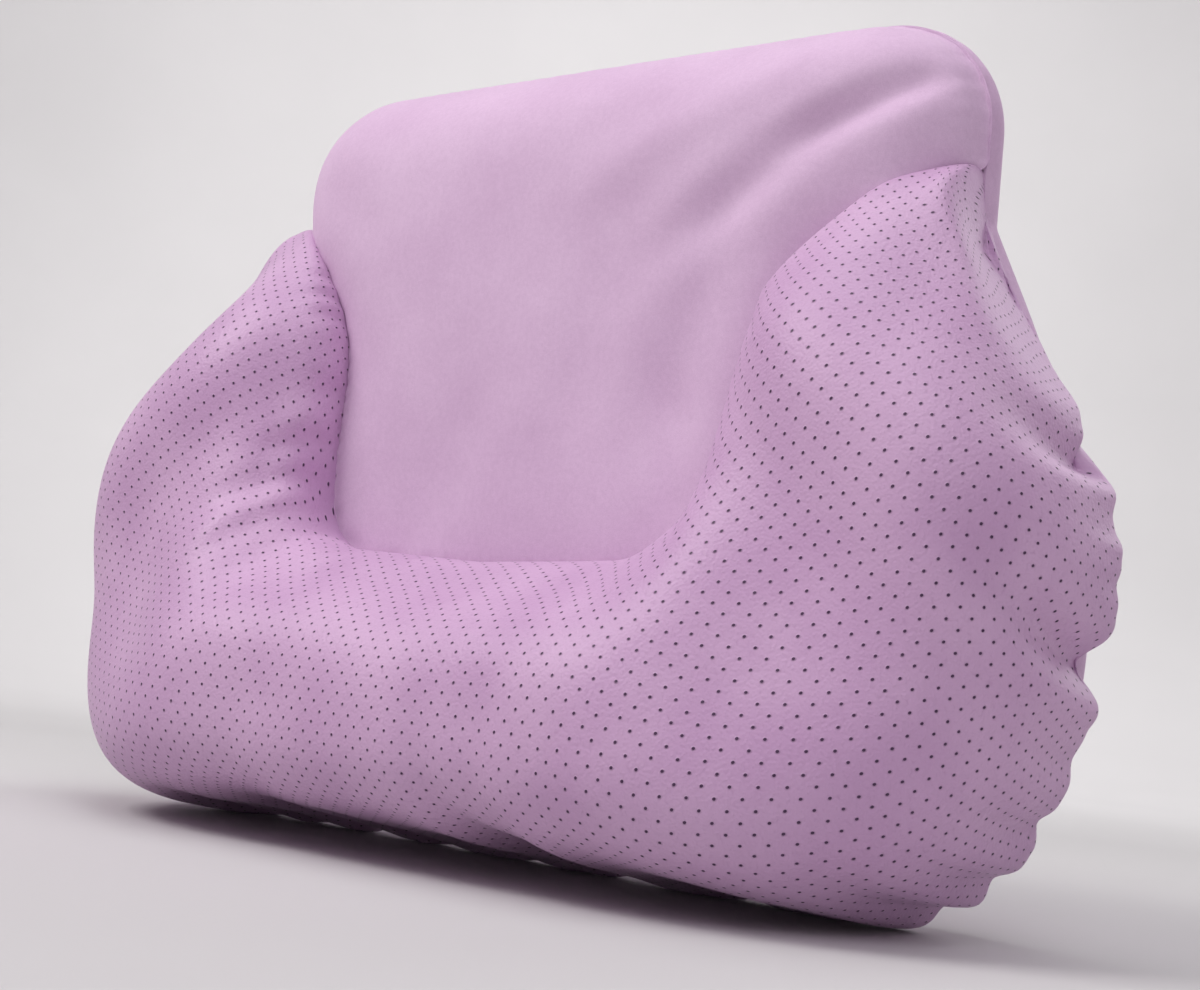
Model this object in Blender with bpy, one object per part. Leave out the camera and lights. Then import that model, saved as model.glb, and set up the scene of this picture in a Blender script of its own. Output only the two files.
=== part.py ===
"""Lumbar support cushion with a U-shaped leather bolster and a zipped, removable cover.

The cushion stands upright on its foot: x runs across, z up the back and y through the
thickness, with y = 0 on the back plane and negative y towards the sitter. The leather bulges
below the seam at the foot and is pressed flat there by the ground. Metres throughout, +Z up.
"""
import math

import bmesh
import bpy
import numpy as np

# Driving dimensions, in metres.
WIDTH = 0.442  # across the hips, with the leather's bulge
TOP_WIDTH = 0.334  # across the suede top
HEIGHT = 0.326  # ground to top edge
TOP_RADIUS = 0.045  # round of the two top corners
SHOULDER_DROP = 0.069  # from the top edge down to where the bolster starts
HIP = 0.105  # height at which the cushion is widest
FOOT_RADIUS = 0.076  # round of the two lower corners
FOOT_SEAM = 0.009  # height of the boxing strip above the ground

# The U-shaped seam between suede and leather.
WAIST_X = 0.105  # half width of the panel at its waist
WAIST_LIFT = 0.60  # place of the waist between the panel's lower edge and the shoulder
CORNER_X = 0.0975  # half width of the panel above its lower corners
CORNER_Z = 0.112  # height of the panel's lower edge
CORNER_RADIUS = 0.030
STRAIGHT_RISE = 0.006  # straight run of the seam above its lower corners
FOOT_DIP = 0.003  # sag of the panel's lower edge at its middle
FLARE = 0.014  # how far the seam has swung out halfway from the waist to the shoulder
RUN_OUT = 0.021  # nearly level last stretch of the seam
RUN_OUT_RISE = 0.012  # and how far that stretch rises
SEAM_INSET = 0.0015  # from the seam's end to the side of the top
RIM_LIFT = 0.004  # height of the seam's end over the boxing strip's front edge
RIM_RUN = 0.030  # stretch along which it comes down to that

# Depths in front of the back plane.
RIM = 0.012  # depth of the boxing strip
PAD_DEPTH = 0.053  # crown of the centre panel
SEAM_DEPTH = 0.037  # U seam, beside the waist
SEAM_DEPTH_FOOT = 0.049  # U seam, at its foot
CREST_FOOT = 0.134  # bolster's crest at the foot
CREST_SIDE = 0.101  # and at the sides
CREST_SHOULDER = 0.030  # and where it ends
BULGE = 0.014  # how far the leather stands out beyond the outer seam
HIP_BULGE = 0.010  # how much of that shows in the width at the hips
CREST_BLEND = (0.25, 0.60)  # share of the half U over which the crest falls from foot to side
CREST_FALL = 0.62  # share of it from which the crest falls to the shoulder
CROWN_LIFT = 0.010  # height of the centre panel's crown over its middle
CROWN_POWER = 5  # how squarely the centre panel turns down to its seams
TIP_WIDTH = 0.020  # width of the bolster where it ends at the shoulder

# Sheets and clearances.
LEATHER = 0.0022  # perforated leather with its foam backing
SUEDE = 0.0018
CASE = 0.0010  # inner case
WALL = 0.0016  # baffle wall
GAP = 0.0003  # between sheets that touch
FILL_CLEAR = 0.0018  # between the inner case and the fibre in it

# The zip across the back.
ZIP_Z = 0.095
ZIP_LENGTH = 0.300
SLOT = 0.0054  # half height of the slot in the back
TAPE_WIDTH = 0.014
TAPE = 0.0008
COIL_GAP = 0.0007  # half the space between the two rows
COIL_WIDTH = 0.0026
COIL_RISE = 0.0015
COIL_ROUND = (0.0005, 0.0006, 0.0008, 0.0006)  # chamfers of a row: down and across, inside first
COIL_DIP = 0.0002  # dip between its turns
COIL_TURNS = 30
SLIDER_LENGTH = 0.0095
SLIDER_WIDTH = 0.0082
SLIDER_PLATE = 0.0009
BRIDGE = 0.0008  # thickness of the slider's bridge between the rows
FLANGE = 0.0005
CROWN_LENGTH = 0.0072
CROWN_BAR = 0.0012  # side of the square bar that the pull turns on
PULL_LENGTH = 0.030
PULL_WIDTH = 0.0040
PULL_SHEET = 0.0009
EYE = 0.00115  # inner radius of the pull's rolled eye
EYE_TURN = 285.0  # how far the eye is rolled round, in degrees
METAL_EDGE = 0.0002  # rounded edges of the stops and the end box
STOP_LENGTH = 0.0022
END_BOX_LENGTH = 0.0030
SLOT_END = 0.0045  # how far the slot runs past the rows

ALONG = 44  # strips along the bolster
ACROSS = 10  # strips across it
RINGS = 5  # rings from the centre panel's edge to its middle
TOP_POINTS = 29  # points along the top edge
WALL_END = 3  # strips at each end of the U seam that the baffle wall leaves out
OUTLINE_POINTS = 100
ARCH = 2 / 2.4  # power of the bolster's superellipse arch
SPRING = 0.008  # how far in front of the outer seam the arch is widest
FULL_WIDTH = 0.060  # width from which the bolster bulges fully
HIP_CURVE = (0.49, 0.88)  # shares of the way out to the hip, one and two thirds of the way down
SEAM_CURVE = (0.35, 0.15)  # shares of the way to the waist, out and up, where the seam sets off

SHOULDER = HEIGHT - SHOULDER_DROP
WAIST_Z = CORNER_Z + WAIST_LIFT * (SHOULDER - CORNER_Z)

# Depths of the layers behind the boxing strip's front edge, and insets of those in front of it.
TAPE_BACK = SUEDE + GAP
TAPE_FRONT = TAPE_BACK + TAPE
PLATE_BACK = TAPE_FRONT + GAP
CASE_BACK = PLATE_BACK + SLIDER_PLATE + GAP
SLAB_BACK = CASE_BACK + CASE + GAP
SLAB_FRONT = RIM - GAP
FILL_BACK = RIM + GAP
CASE_INSET = LEATHER + GAP
FILL_INSET = CASE_INSET + CASE + FILL_CLEAR
CENTRE_CASE = SUEDE + GAP
PAD_INSET = CENTRE_CASE + CASE + GAP
SEAM_END = SHOULDER + TIP_WIDTH / 2
OUTER_END = SHOULDER - TIP_WIDTH / 2


def smooth(low, high, value):
    """Smooth step from 0 at low to 1 at high."""
    t = np.clip((value - low) / (high - low), 0.0, 1.0)
    return t * t * (3.0 - 2.0 * t)


def through(points, steps=10):
    """Catmull-Rom curve through the points."""
    p = np.asarray(points, float)
    p = np.vstack([2 * p[0] - p[1], p, 2 * p[-1] - p[-2]])
    t = np.linspace(0.0, 1.0, steps, endpoint=False)[:, None]
    runs = []
    for a, b, c, d in zip(p[:-3], p[1:-2], p[2:-1], p[3:]):
        runs.append(0.5 * (2 * b + (c - a) * t + (2 * a - 5 * b + 4 * c - d) * t ** 2
                           + (3 * b - a - 3 * c + d) * t ** 3))
    runs.append(p[-2][None])
    return np.vstack(runs)


def spaced(curve, count):
    """The same polyline with count points, evenly spaced along it."""
    run = np.r_[0.0, np.cumsum(np.linalg.norm(np.diff(curve, axis=0), axis=1))]
    at = np.linspace(0.0, run[-1], count)
    return np.stack([np.interp(at, run, curve[:, k]) for k in range(curve.shape[1])], axis=1)


def arc(centre_x, centre_z, radius_x, radius_z, start, end, steps=12, power=1.0):
    """Arc of a superellipse, angles in degrees from +x towards +z."""
    a = np.radians(np.linspace(start, end, steps))
    c, s = np.cos(a), np.sin(a)
    x = centre_x + radius_x * np.sign(c) * np.abs(c) ** power
    z = centre_z + radius_z * np.sign(s) * np.abs(s) ** power
    return np.stack([x, z], axis=1)


def moved_in(curve, distance, closed):
    """The polyline moved to its left by distance."""
    if closed:
        along = np.roll(curve, -1, axis=0) - np.roll(curve, 1, axis=0)
    else:
        along = np.gradient(curve, axis=0)
    along /= np.linalg.norm(along, axis=1)[:, None]
    return curve + distance * np.stack([-along[:, 1], along[:, 0]], axis=1)


def mirrored(right_half):
    """Whole curve, left to right, from its right half, whose first point is central."""
    return np.vstack([(right_half * [-1.0, 1.0])[::-1], right_half[1:]])


def outer_half():
    """Outer seam of the bolster, from the middle of the foot to the right shoulder."""
    top_x = TOP_WIDTH / 2
    hip_x = WIDTH / 2 - HIP_BULGE
    fall = OUTER_END - HIP
    out = hip_x - top_x
    side = through([(top_x, OUTER_END), (top_x + HIP_CURVE[0] * out, OUTER_END - fall / 3),
                    (top_x + HIP_CURVE[1] * out, OUTER_END - 2 * fall / 3), (hip_x, HIP)])
    corner = arc(hip_x - FOOT_RADIUS, HIP, FOOT_RADIUS, HIP - FOOT_SEAM, 0, -90, 20, 2 / 2.3)
    return np.vstack([[[0.0, FOOT_SEAM]], corner[::-1], side[::-1][1:]])


def inner_half():
    """U-shaped seam, from the middle of its foot to the right shoulder."""
    end_x = TOP_WIDTH / 2 - SEAM_INSET
    straight = CORNER_Z + CORNER_RADIUS + STRAIGHT_RISE
    off_x = CORNER_X + SEAM_CURVE[0] * (WAIST_X - CORNER_X)
    off_z = straight + SEAM_CURVE[1] * (WAIST_Z - straight)
    side = through([(end_x, SEAM_END), (end_x - RUN_OUT, SEAM_END - RUN_OUT_RISE),
                    (WAIST_X + FLARE, (WAIST_Z + SHOULDER) / 2), (WAIST_X, WAIST_Z),
                    (off_x, off_z), (CORNER_X + 0.001, straight)])
    corner = arc(CORNER_X - CORNER_RADIUS, CORNER_Z + CORNER_RADIUS,
                 CORNER_RADIUS, CORNER_RADIUS, 0, -90, 9)
    foot = [[0.0, CORNER_Z - FOOT_DIP]]
    return np.vstack([foot, corner[::-1], side[::-1]])


def top_half():
    """Top edge, from the right shoulder to the middle."""
    x = TOP_WIDTH / 2
    corner = arc(x - TOP_RADIUS, HEIGHT - TOP_RADIUS, TOP_RADIUS, TOP_RADIUS, 0, 90)
    return np.vstack([[[x, SEAM_END + 0.002]], corner, [[0.0, HEIGHT]]])


def outline(inset):
    """Closed outline of the whole cushion, anticlockwise from the middle of the foot."""
    half = np.vstack([outer_half(), top_half()])
    ring = np.vstack([half, (half * [-1.0, 1.0])[::-1][1:-1]])
    ring = spaced(np.vstack([ring, ring[:1]]), OUTLINE_POINTS + 1)[:-1]
    return moved_in(ring, inset, True)


def seam_depth(z):
    """Depth of the U seam at a height."""
    return SEAM_DEPTH_FOOT + (SEAM_DEPTH - SEAM_DEPTH_FOOT) * smooth(CORNER_Z, SHOULDER, z)


def rim_blend(points):
    """1 where the U seam has run out onto the rim at a shoulder, 0 along the rest of it."""
    near = smooth(TOP_WIDTH / 2 - RIM_RUN, TOP_WIDTH / 2, np.abs(points[:, 0]))
    return near * smooth(SHOULDER - RIM_RUN, SHOULDER, points[:, 1])


def inner_depth(points):
    """Depth of the U seam along its own curve, down to just above the rim at the shoulders."""
    blend = rim_blend(points)
    return seam_depth(points[:, 1]) * (1 - blend) + (RIM + RIM_LIFT) * blend


def grounded(grid):
    """The grid with what lies below the ground pressed up onto it."""
    pressed = np.array(grid, float)
    pressed[..., 2] = np.maximum(pressed[..., 2], 0.0)
    return pressed


def inner_seam():
    """U-shaped seam as evenly spaced points, from the left shoulder to the right."""
    return spaced(mirrored(inner_half()), ALONG + 1)


def bolster_face():
    """Leather face of the bolster as a grid: along the U, then across it.

    Each cross-section is a superellipse arch from the inner seam to the outer one. It is widest
    a little outside the outer seam, so the leather bulges over the boxing strip.
    """
    inner = inner_seam()
    outer = spaced(mirrored(outer_half()), ALONG + 1)
    u = np.abs(np.linspace(-1.0, 1.0, ALONG + 1))
    crest = CREST_FOOT + (CREST_SIDE - CREST_FOOT) * smooth(*CREST_BLEND, u)
    crest = (crest + (CREST_SHOULDER - crest) * smooth(CREST_FALL, 1.0, u))[:, None]
    width = np.linalg.norm(outer - inner, axis=1)[:, None]
    across = (outer - inner) / width
    fullness = np.clip(width / FULL_WIDTH, 0.0, 1.0)
    half = (width + BULGE * fullness) / 2
    turn = np.arccos(1.0 - BULGE * fullness / half)
    t = np.linspace(0.0, 1.0, ACROSS + 1)[None]
    angle = (math.pi + turn) * t
    c, s = -np.cos(angle), np.sin(angle)
    place = half + half * np.sign(c) * np.abs(c) ** ARCH
    place[:, -1:] = width
    share = np.clip(place / width, 0.0, 1.0)
    low = inner_depth(inner)[:, None] * (1 - share) + (RIM + GAP) * share
    spring = low + SPRING * fullness * share
    rise = np.clip(s, 0.0, 1.0) ** ARCH
    fall = np.clip(-s, 0.0, 1.0) / np.maximum(np.sin(turn), 1e-6)
    depth = spring * (1 - rise) + crest * rise
    depth = np.where(s < 0.0, spring * (1 - fall) + low * fall, depth)
    depth[:, -1] = RIM + GAP
    xz = inner[:, None] + across[:, None] * place[..., None]
    return grounded(np.stack([xz[..., 0], -depth, xz[..., 1]], axis=-1))


def sunk(grid, distance, round_columns=False):
    """A grid moved behind itself by distance, along its normals, but never behind the rim."""
    down = np.gradient(grid, axis=0)
    if round_columns:
        along = np.roll(grid, -1, axis=1) - np.roll(grid, 1, axis=1)
    else:
        along = np.gradient(grid, axis=1)
    normal = np.cross(down, along)
    normal /= np.linalg.norm(normal, axis=2)[..., None]
    moved = grid + distance * normal
    moved[..., 1] = np.minimum(moved[..., 1], -(RIM + GAP))
    return moved


def bolster_back(front):
    """Flat back of the bolster's filling, ruled between the two edges of its front."""
    t = np.linspace(0.0, 1.0, front.shape[1])[None, :, None]
    back = front[:, :1] * (1 - t) + front[:, -1:] * t
    back[..., 1] = -FILL_BACK
    return back


def panel_rings():
    """Face of the centre panel as rings from its edge to near its middle, and its middle.

    It is nearly flat, and turns down to its seams with the fifth power of the ring's size.
    """
    seam = inner_seam()
    top = spaced(mirrored(top_half()[::-1]), TOP_POINTS)[::-1]
    ring = moved_in(np.vstack([seam, top]), WALL / 2 + GAP, True)
    edge = np.r_[inner_depth(seam), np.full(TOP_POINTS, RIM)] + 2 * GAP
    middle = np.array([0.0, (CORNER_Z + HEIGHT) / 2 + CROWN_LIFT])
    sizes = 1.0 - np.linspace(0.0, 1.0, RINGS + 1)[:-1] ** 1.6
    rows = []
    for size in sizes:
        share = size ** CROWN_POWER
        xz = middle + (ring - middle) * size
        depth = PAD_DEPTH * (1 - share) + edge * share
        rows.append(np.stack([xz[:, 0], -depth, xz[:, 1]], axis=1))
    return np.array(rows), np.array([middle[0], -PAD_DEPTH, middle[1]])


def panel_face(distance):
    """The centre panel's rings and middle, distance below its face."""
    rings, middle = panel_rings()
    return sunk(rings, distance, True), middle + [0.0, distance, 0.0]


def body(name, points, faces, material, parent):
    """Object from points and faces, shaded smooth with sharp edges kept."""
    mesh = bpy.data.meshes.new(name)
    mesh.from_pydata([tuple(p) for p in np.asarray(points, float)], [], [tuple(f) for f in faces])
    tidy = bmesh.new()
    tidy.from_mesh(mesh)
    bmesh.ops.recalc_face_normals(tidy, faces=tidy.faces)
    tidy.to_mesh(mesh)
    tidy.free()
    mesh.materials.append(material)
    mesh.shade_smooth()
    mesh.set_sharp_from_angle(angle=math.radians(40))
    thing = bpy.data.objects.new(name, mesh)
    bpy.context.scene.collection.objects.link(thing)
    thing.parent = parent
    return thing


def between(name, front, back, material, parent):
    """Closed body between two grids of the same size."""
    rows, columns = front.shape[:2]
    index = np.arange(rows * columns).reshape(rows, columns)
    faces = []
    for r in range(rows - 1):
        for c in range(columns - 1):
            quad = [index[r, c], index[r + 1, c], index[r + 1, c + 1], index[r, c + 1]]
            for face in (quad[:3], [quad[0], quad[2], quad[3]]):
                faces.append(face)
                faces.append([k + rows * columns for k in face[::-1]])
    rim = list(index[0]) + list(index[1:, -1]) + list(index[-1, -2::-1]) + list(index[-2:0:-1, 0])
    for a, b in zip(rim, rim[1:] + rim[:1]):
        faces.append([a, b, b + rows * columns, a + rows * columns])
    points = np.vstack([front.reshape(-1, 3), back.reshape(-1, 3)])
    return body(name, points, faces, material, parent)


def domed(name, front, front_tip, back, back_tip, material, parent):
    """Closed body between two sets of rings, each closed by a fan at its tip."""
    rows, columns = front.shape[:2]
    size = rows * columns
    points = np.vstack([front.reshape(-1, 3), back.reshape(-1, 3), [front_tip], [back_tip]])
    faces = []
    for c in range(columns):
        d = (c + 1) % columns
        for r in range(rows - 1):
            quad = [r * columns + c, r * columns + d, (r + 1) * columns + d, (r + 1) * columns + c]
            for face in (quad[:3], [quad[0], quad[2], quad[3]]):
                faces.append(face)
                faces.append([k + size for k in face[::-1]])
        last = (rows - 1) * columns
        faces.append([last + c, last + d, 2 * size])
        faces.append([last + d + size, last + c + size, 2 * size + 1])
        faces.append([c, d, d + size, c + size])
    return body(name, points, faces, material, parent)


def slab(name, ring, back, front, material, parent):
    """Flat plate with the outline ring, between two depths."""
    count = len(ring)
    points = []
    for depth in (back, front):
        points += [(x, -depth, z) for x, z in ring]
    faces = [list(range(count)), list(range(2 * count - 1, count - 1, -1))]
    for k in range(count):
        n = (k + 1) % count
        faces.append([k, n, n + count, k + count])
    return body(name, points, faces, material, parent)


def strip(name, outer, inner, back, front, material, parent, closed=True):
    """Band between two curves of the same length, between two depths (numbers or arrays)."""
    count = len(outer)
    loops = []
    for ring, depth in ((outer, back), (outer, front), (inner, front), (inner, back)):
        depth = np.broadcast_to(depth, count)
        loops.append(np.stack([ring[:, 0], -depth, ring[:, 1]], axis=1))
    points = np.vstack(loops)
    faces = []
    for k in range(count if closed else count - 1):
        n = (k + 1) % count
        for a in range(4):
            b = (a + 1) % 4
            faces.append([a * count + k, a * count + n, b * count + n, b * count + k])
    if not closed:
        faces.append([a * count for a in range(4)])
        faces.append([a * count + count - 1 for a in (3, 2, 1, 0)])
    return body(name, points, faces, material, parent)


def block(name, x_range, y_range, z_range, material, parent, bevel=0.0):
    """Box with optional rounded edges."""
    mesh = bmesh.new()
    bmesh.ops.create_cube(mesh, size=1.0)
    for v in mesh.verts:
        for k, (low, high) in enumerate((x_range, y_range, z_range)):
            v.co[k] = low if v.co[k] < 0 else high
    if bevel:
        bmesh.ops.bevel(mesh, geom=mesh.edges[:], offset=bevel, segments=2, profile=0.5,
                        affect='EDGES', clamp_overlap=True)
    points = [tuple(v.co) for v in mesh.verts]
    faces = [[v.index for v in f.verts] for f in mesh.faces]
    mesh.free()
    return body(name, points, faces, material, parent)


def finish(name, colour, roughness, metallic=0.0):
    """Principled material with one colour."""
    material = bpy.data.materials.new(name)
    material.use_nodes = True
    shader = material.node_tree.nodes["Principled BSDF"]
    shader.inputs["Base Color"].default_value = (*colour, 1.0)
    shader.inputs["Roughness"].default_value = roughness
    shader.inputs["Metallic"].default_value = metallic
    return material


def side_x(ring, z):
    """Half width of a symmetric ring at a height below its shoulders."""
    right = ring[(ring[:, 0] > CORNER_X) & (ring[:, 1] < SHOULDER)]
    right = right[np.argsort(right[:, 1])]
    return float(np.interp(z, right[:, 1], right[:, 0]))


def half_back(name, side, material, parent):
    """Back panel above (side 1) or below (-1) the zip, its half of the slot cut out of its edge."""
    ring = outline(SUEDE + GAP)
    edge = ZIP_Z + side * GAP / 2
    kept = side * (ring[:, 1] - edge) > 0.001
    start = int(np.argmax(kept & ~np.roll(kept, 1)))
    run = np.roll(ring, -start, axis=0)[:int(kept.sum())]
    reach = side_x(ring, edge)
    slot_x = ZIP_LENGTH / 2 + SLOT_END
    slot_z = ZIP_Z + side * SLOT
    end = math.copysign(1.0, run[-1, 0])
    cut = [(end * reach, edge), (end * slot_x, edge), (end * slot_x, slot_z),
           (-end * slot_x, slot_z), (-end * slot_x, edge), (-end * reach, edge)]
    return slab(name, np.vstack([run, cut]), 0.0, SUEDE, material, parent)


def prism(name, section, x_range, material, parent, at=(0.0, 0.0, 0.0)):
    """Body with a (y, z) section, carried along x between two places."""
    size = len(section)
    points = [(x, y, z) for x in x_range for y, z in section]
    faces = [list(range(size)), list(range(2 * size - 1, size - 1, -1))]
    for k in range(size):
        n = (k + 1) % size
        faces.append([k, n, n + size, k + size])
    thing = body(name, points, faces, material, parent)
    thing.location = at
    return thing


def coil(name, side, material, parent):
    """One row of the zip: a bar on the tape's outer face, dipped between its turns."""
    near, far = COIL_GAP, COIL_GAP + COIL_WIDTH
    base = -SUEDE
    top = base + COIL_RISE
    inner_down, inner_across, outer_across, outer_down = COIL_ROUND
    section = [(near, base), (near, top - inner_down), (near + inner_across, top),
               (far - outer_across, top), (far, top - outer_down), (far, base)]
    stations = np.linspace(-ZIP_LENGTH / 2, ZIP_LENGTH / 2, COIL_TURNS + 1)
    points = []
    for k, x in enumerate(stations):
        dip = COIL_DIP if k % 2 else 0.0
        points += [(x, y - dip if y > base else y, ZIP_Z + side * z) for z, y in section]
    size = len(section)
    faces = [list(range(size)), list(range(len(points) - 1, len(points) - size - 1, -1))]
    for k in range(COIL_TURNS):
        for a in range(size):
            b = (a + 1) % size
            faces.append([k * size + a, k * size + b, (k + 1) * size + b, (k + 1) * size + a])
    return body(name, points, faces, material, parent)


def slider(material, parent, at):
    """Two plates joined by a bridge, the outer one with flanges down beside the rows."""
    half = SLIDER_WIDTH / 2
    web = BRIDGE / 2
    plate = SLIDER_PLATE
    low = -PLATE_BACK
    right = [(low - plate, half), (low, half), (low, web), (0.0, web),
             (0.0, half - FLANGE), (-SUEDE, half - FLANGE), (-SUEDE, half), (plate, half)]
    section = right + [(y, -z) for y, z in reversed(right)]
    x = SLIDER_LENGTH / 2
    return prism("zip_slider", section, (-x, x), material, parent, at)


def crown(material, parent, at, axis_y):
    """Square-bar arch on the slider, which the pull turns on."""
    half, bar = CROWN_LENGTH / 2, CROWN_BAR
    foot = SLIDER_PLATE + GAP
    top = axis_y + bar / 2
    arch = [(-half, foot), (-half, top), (half, top), (half, foot),
            (half - bar, foot), (half - bar, top - bar), (-half + bar, top - bar), (-half + bar, foot)]
    points = [(x, y, z) for z in (-bar / 2, bar / 2) for x, y in arch]
    size = len(arch)
    faces = [list(range(size)), list(range(2 * size - 1, size - 1, -1))]
    for k in range(size):
        n = (k + 1) % size
        faces.append([k, n, n + size, k + size])
    thing = body("zip_crown", points, faces, material, parent)
    thing.location = at
    return thing


def pull(material, parent, at):
    """Sheet tab that hangs straight down from an eye rolled round the crown's bar."""
    radius = EYE + PULL_SHEET / 2
    turn = np.radians(np.linspace(0.0, EYE_TURN, 17))
    path = np.stack([radius * np.cos(turn), radius * np.sin(turn)], axis=1)
    path = np.vstack([[[radius, -PULL_LENGTH]], path])
    near = moved_in(path, PULL_SHEET / 2, False)
    far = moved_in(path, -PULL_SHEET / 2, False)
    section = [tuple(p) for p in np.vstack([near, far[::-1]])]
    x = PULL_WIDTH / 2
    return prism("zip_pull", section, (-x, x), material, parent, at)


def covers(frame, suede, leather):
    """The outer cover's front, rim and back."""
    face = bolster_face()
    between("bolster_panel", face, sunk(face, LEATHER), leather, frame)
    domed("centre_panel", *panel_face(0.0), *panel_face(SUEDE), suede, frame)
    strip("edge_band", outline(0.0), outline(SUEDE), 0.0, RIM, suede, frame)
    half_back("back_panel_upper", 1.0, suede, frame)
    half_back("back_panel_lower", -1.0, suede, frame)


def filling(frame, foam, fibre, cloth):
    """The inner case and what it holds."""
    face = bolster_face()
    outside, inside, front = [sunk(face, inset)[2:-2]
                              for inset in (CASE_INSET, CASE_INSET + CASE, FILL_INSET)]
    between("case_bolster", outside, inside, cloth, frame)
    between("bolster_fill", front, bolster_back(front), fibre, frame)
    domed("case_centre", *panel_face(CENTRE_CASE), *panel_face(CENTRE_CASE + CASE), cloth, frame)
    rings, tip = panel_face(PAD_INSET)
    flat_rings, flat_tip = np.array(rings), np.array(tip)
    flat_rings[..., 1] = -FILL_BACK
    flat_tip[1] = -FILL_BACK
    domed("lumbar_pad", rings, tip, flat_rings, flat_tip, foam, frame)
    seam = inner_seam()[WALL_END:-WALL_END]
    front = inner_depth(seam) - LEATHER - 2 * GAP
    strip("baffle_wall", moved_in(seam, -WALL / 2, False), moved_in(seam, WALL / 2, False),
          FILL_BACK, front, cloth, frame, closed=False)
    slab("base_foam", outline(SUEDE + 2 * GAP + CASE), SLAB_BACK, SLAB_FRONT, foam, frame)
    slab("case_back", outline(SUEDE + GAP), CASE_BACK, CASE_BACK + CASE, cloth, frame)


def zip_fastener(frame, tape, nylon, metal):
    """The zip, closed, with its slider at the +x end."""
    half = ZIP_LENGTH / 2
    end = half + SLOT_END
    for word, side in (("upper", 1.0), ("lower", -1.0)):
        z = sorted((ZIP_Z + side * COIL_GAP, ZIP_Z + side * (COIL_GAP + TAPE_WIDTH)))
        block("zip_tape_" + word, (-end, end), (-TAPE_FRONT, -TAPE_BACK), z, tape, frame)
        coil("zip_coil_" + word, side, nylon, frame)
        z = sorted((ZIP_Z + side * COIL_GAP, ZIP_Z + side * (COIL_GAP + COIL_WIDTH)))
        block("zip_stop_" + word, (half + GAP, half + GAP + STOP_LENGTH),
              (-SUEDE, -SUEDE + COIL_RISE), z, metal, frame, METAL_EDGE)
    reach = COIL_GAP + COIL_WIDTH
    block("zip_end_box", (-half - GAP - END_BOX_LENGTH, -half - GAP),
          (-SUEDE, -SUEDE + COIL_RISE), (ZIP_Z - reach, ZIP_Z + reach), metal, frame, METAL_EDGE)
    x = half - SLIDER_LENGTH / 2 - GAP
    slider(metal, frame, (x, 0.0, ZIP_Z))
    axis_y = SLIDER_PLATE + GAP + EYE + PULL_SHEET + GAP
    crown(metal, frame, (x, 0.0, ZIP_Z), axis_y)
    pull(metal, frame, (x, axis_y, ZIP_Z))


def stand(frame):
    """Moves the cushion so that the middle of its foot box is the origin."""
    bpy.context.view_layer.update()
    corners = []
    for thing in bpy.data.objects:
        if thing.type == "MESH":
            place = np.array(thing.matrix_world)
            mesh = thing.data
            points = np.empty(len(mesh.vertices) * 3, np.float32)
            mesh.vertices.foreach_get("co", points)
            points = points.reshape(-1, 3) @ place[:3, :3].T + place[:3, 3]
            corners += [points.min(axis=0), points.max(axis=0)]
    low, high = np.min(corners, axis=0), np.max(corners, axis=0)
    frame.location = (-(low[0] + high[0]) / 2, -(low[1] + high[1]) / 2, -low[2])
    bpy.context.view_layer.update()


def main():
    for thing in list(bpy.data.objects):
        bpy.data.objects.remove(thing, do_unlink=True)
    suede = finish("suede", (0.60, 0.42, 0.58), 0.85)
    leather = finish("leather", (0.55, 0.36, 0.53), 0.50)
    foam = finish("foam", (0.85, 0.82, 0.70), 0.90)
    fibre = finish("fibre", (0.90, 0.90, 0.90), 0.95)
    cloth = finish("case_cloth", (0.80, 0.80, 0.82), 0.90)
    tape = finish("zip_tape", (0.45, 0.30, 0.44), 0.85)
    nylon = finish("zip_nylon", (0.42, 0.27, 0.41), 0.45)
    metal = finish("zip_metal", (0.55, 0.55, 0.57), 0.35, 1.0)
    frame = bpy.data.objects.new("cushion_frame", None)
    bpy.context.scene.collection.objects.link(frame)
    covers(frame, suede, leather)
    filling(frame, foam, fibre, cloth)
    zip_fastener(frame, tape, nylon, metal)
    stand(frame)


main()
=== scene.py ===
"""Looks of a lumbar support cushion: a gathered, perforated leather bolster, napped suede panels
and a coil zip across the back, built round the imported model. Metres, +Z up.

Every soft surface is a grid of points from a formula. Depth is measured forward from the flat
back, so a point at depth d lies at y = BACK - d.
"""

import math

import bmesh
import bpy
import numpy as np
from mathutils import Matrix, Vector


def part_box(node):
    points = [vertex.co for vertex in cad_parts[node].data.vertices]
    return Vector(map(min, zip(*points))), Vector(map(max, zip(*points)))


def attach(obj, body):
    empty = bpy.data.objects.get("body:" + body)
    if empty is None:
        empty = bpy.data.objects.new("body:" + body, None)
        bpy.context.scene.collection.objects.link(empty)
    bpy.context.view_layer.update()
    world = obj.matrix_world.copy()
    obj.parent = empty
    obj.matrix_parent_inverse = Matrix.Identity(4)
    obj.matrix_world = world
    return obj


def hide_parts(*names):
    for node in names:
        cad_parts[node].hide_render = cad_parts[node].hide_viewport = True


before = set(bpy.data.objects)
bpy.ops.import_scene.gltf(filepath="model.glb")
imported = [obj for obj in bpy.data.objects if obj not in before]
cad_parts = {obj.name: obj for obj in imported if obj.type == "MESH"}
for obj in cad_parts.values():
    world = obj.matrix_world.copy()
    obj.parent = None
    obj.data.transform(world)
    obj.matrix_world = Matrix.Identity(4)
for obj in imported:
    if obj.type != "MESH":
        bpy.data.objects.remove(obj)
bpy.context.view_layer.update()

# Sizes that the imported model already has.
BAND_LOW, BAND_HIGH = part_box("edge_band")
BACK = BAND_HIGH[1]
RIM = BACK - BAND_LOW[1]  # depth of the boxing strip
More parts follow.
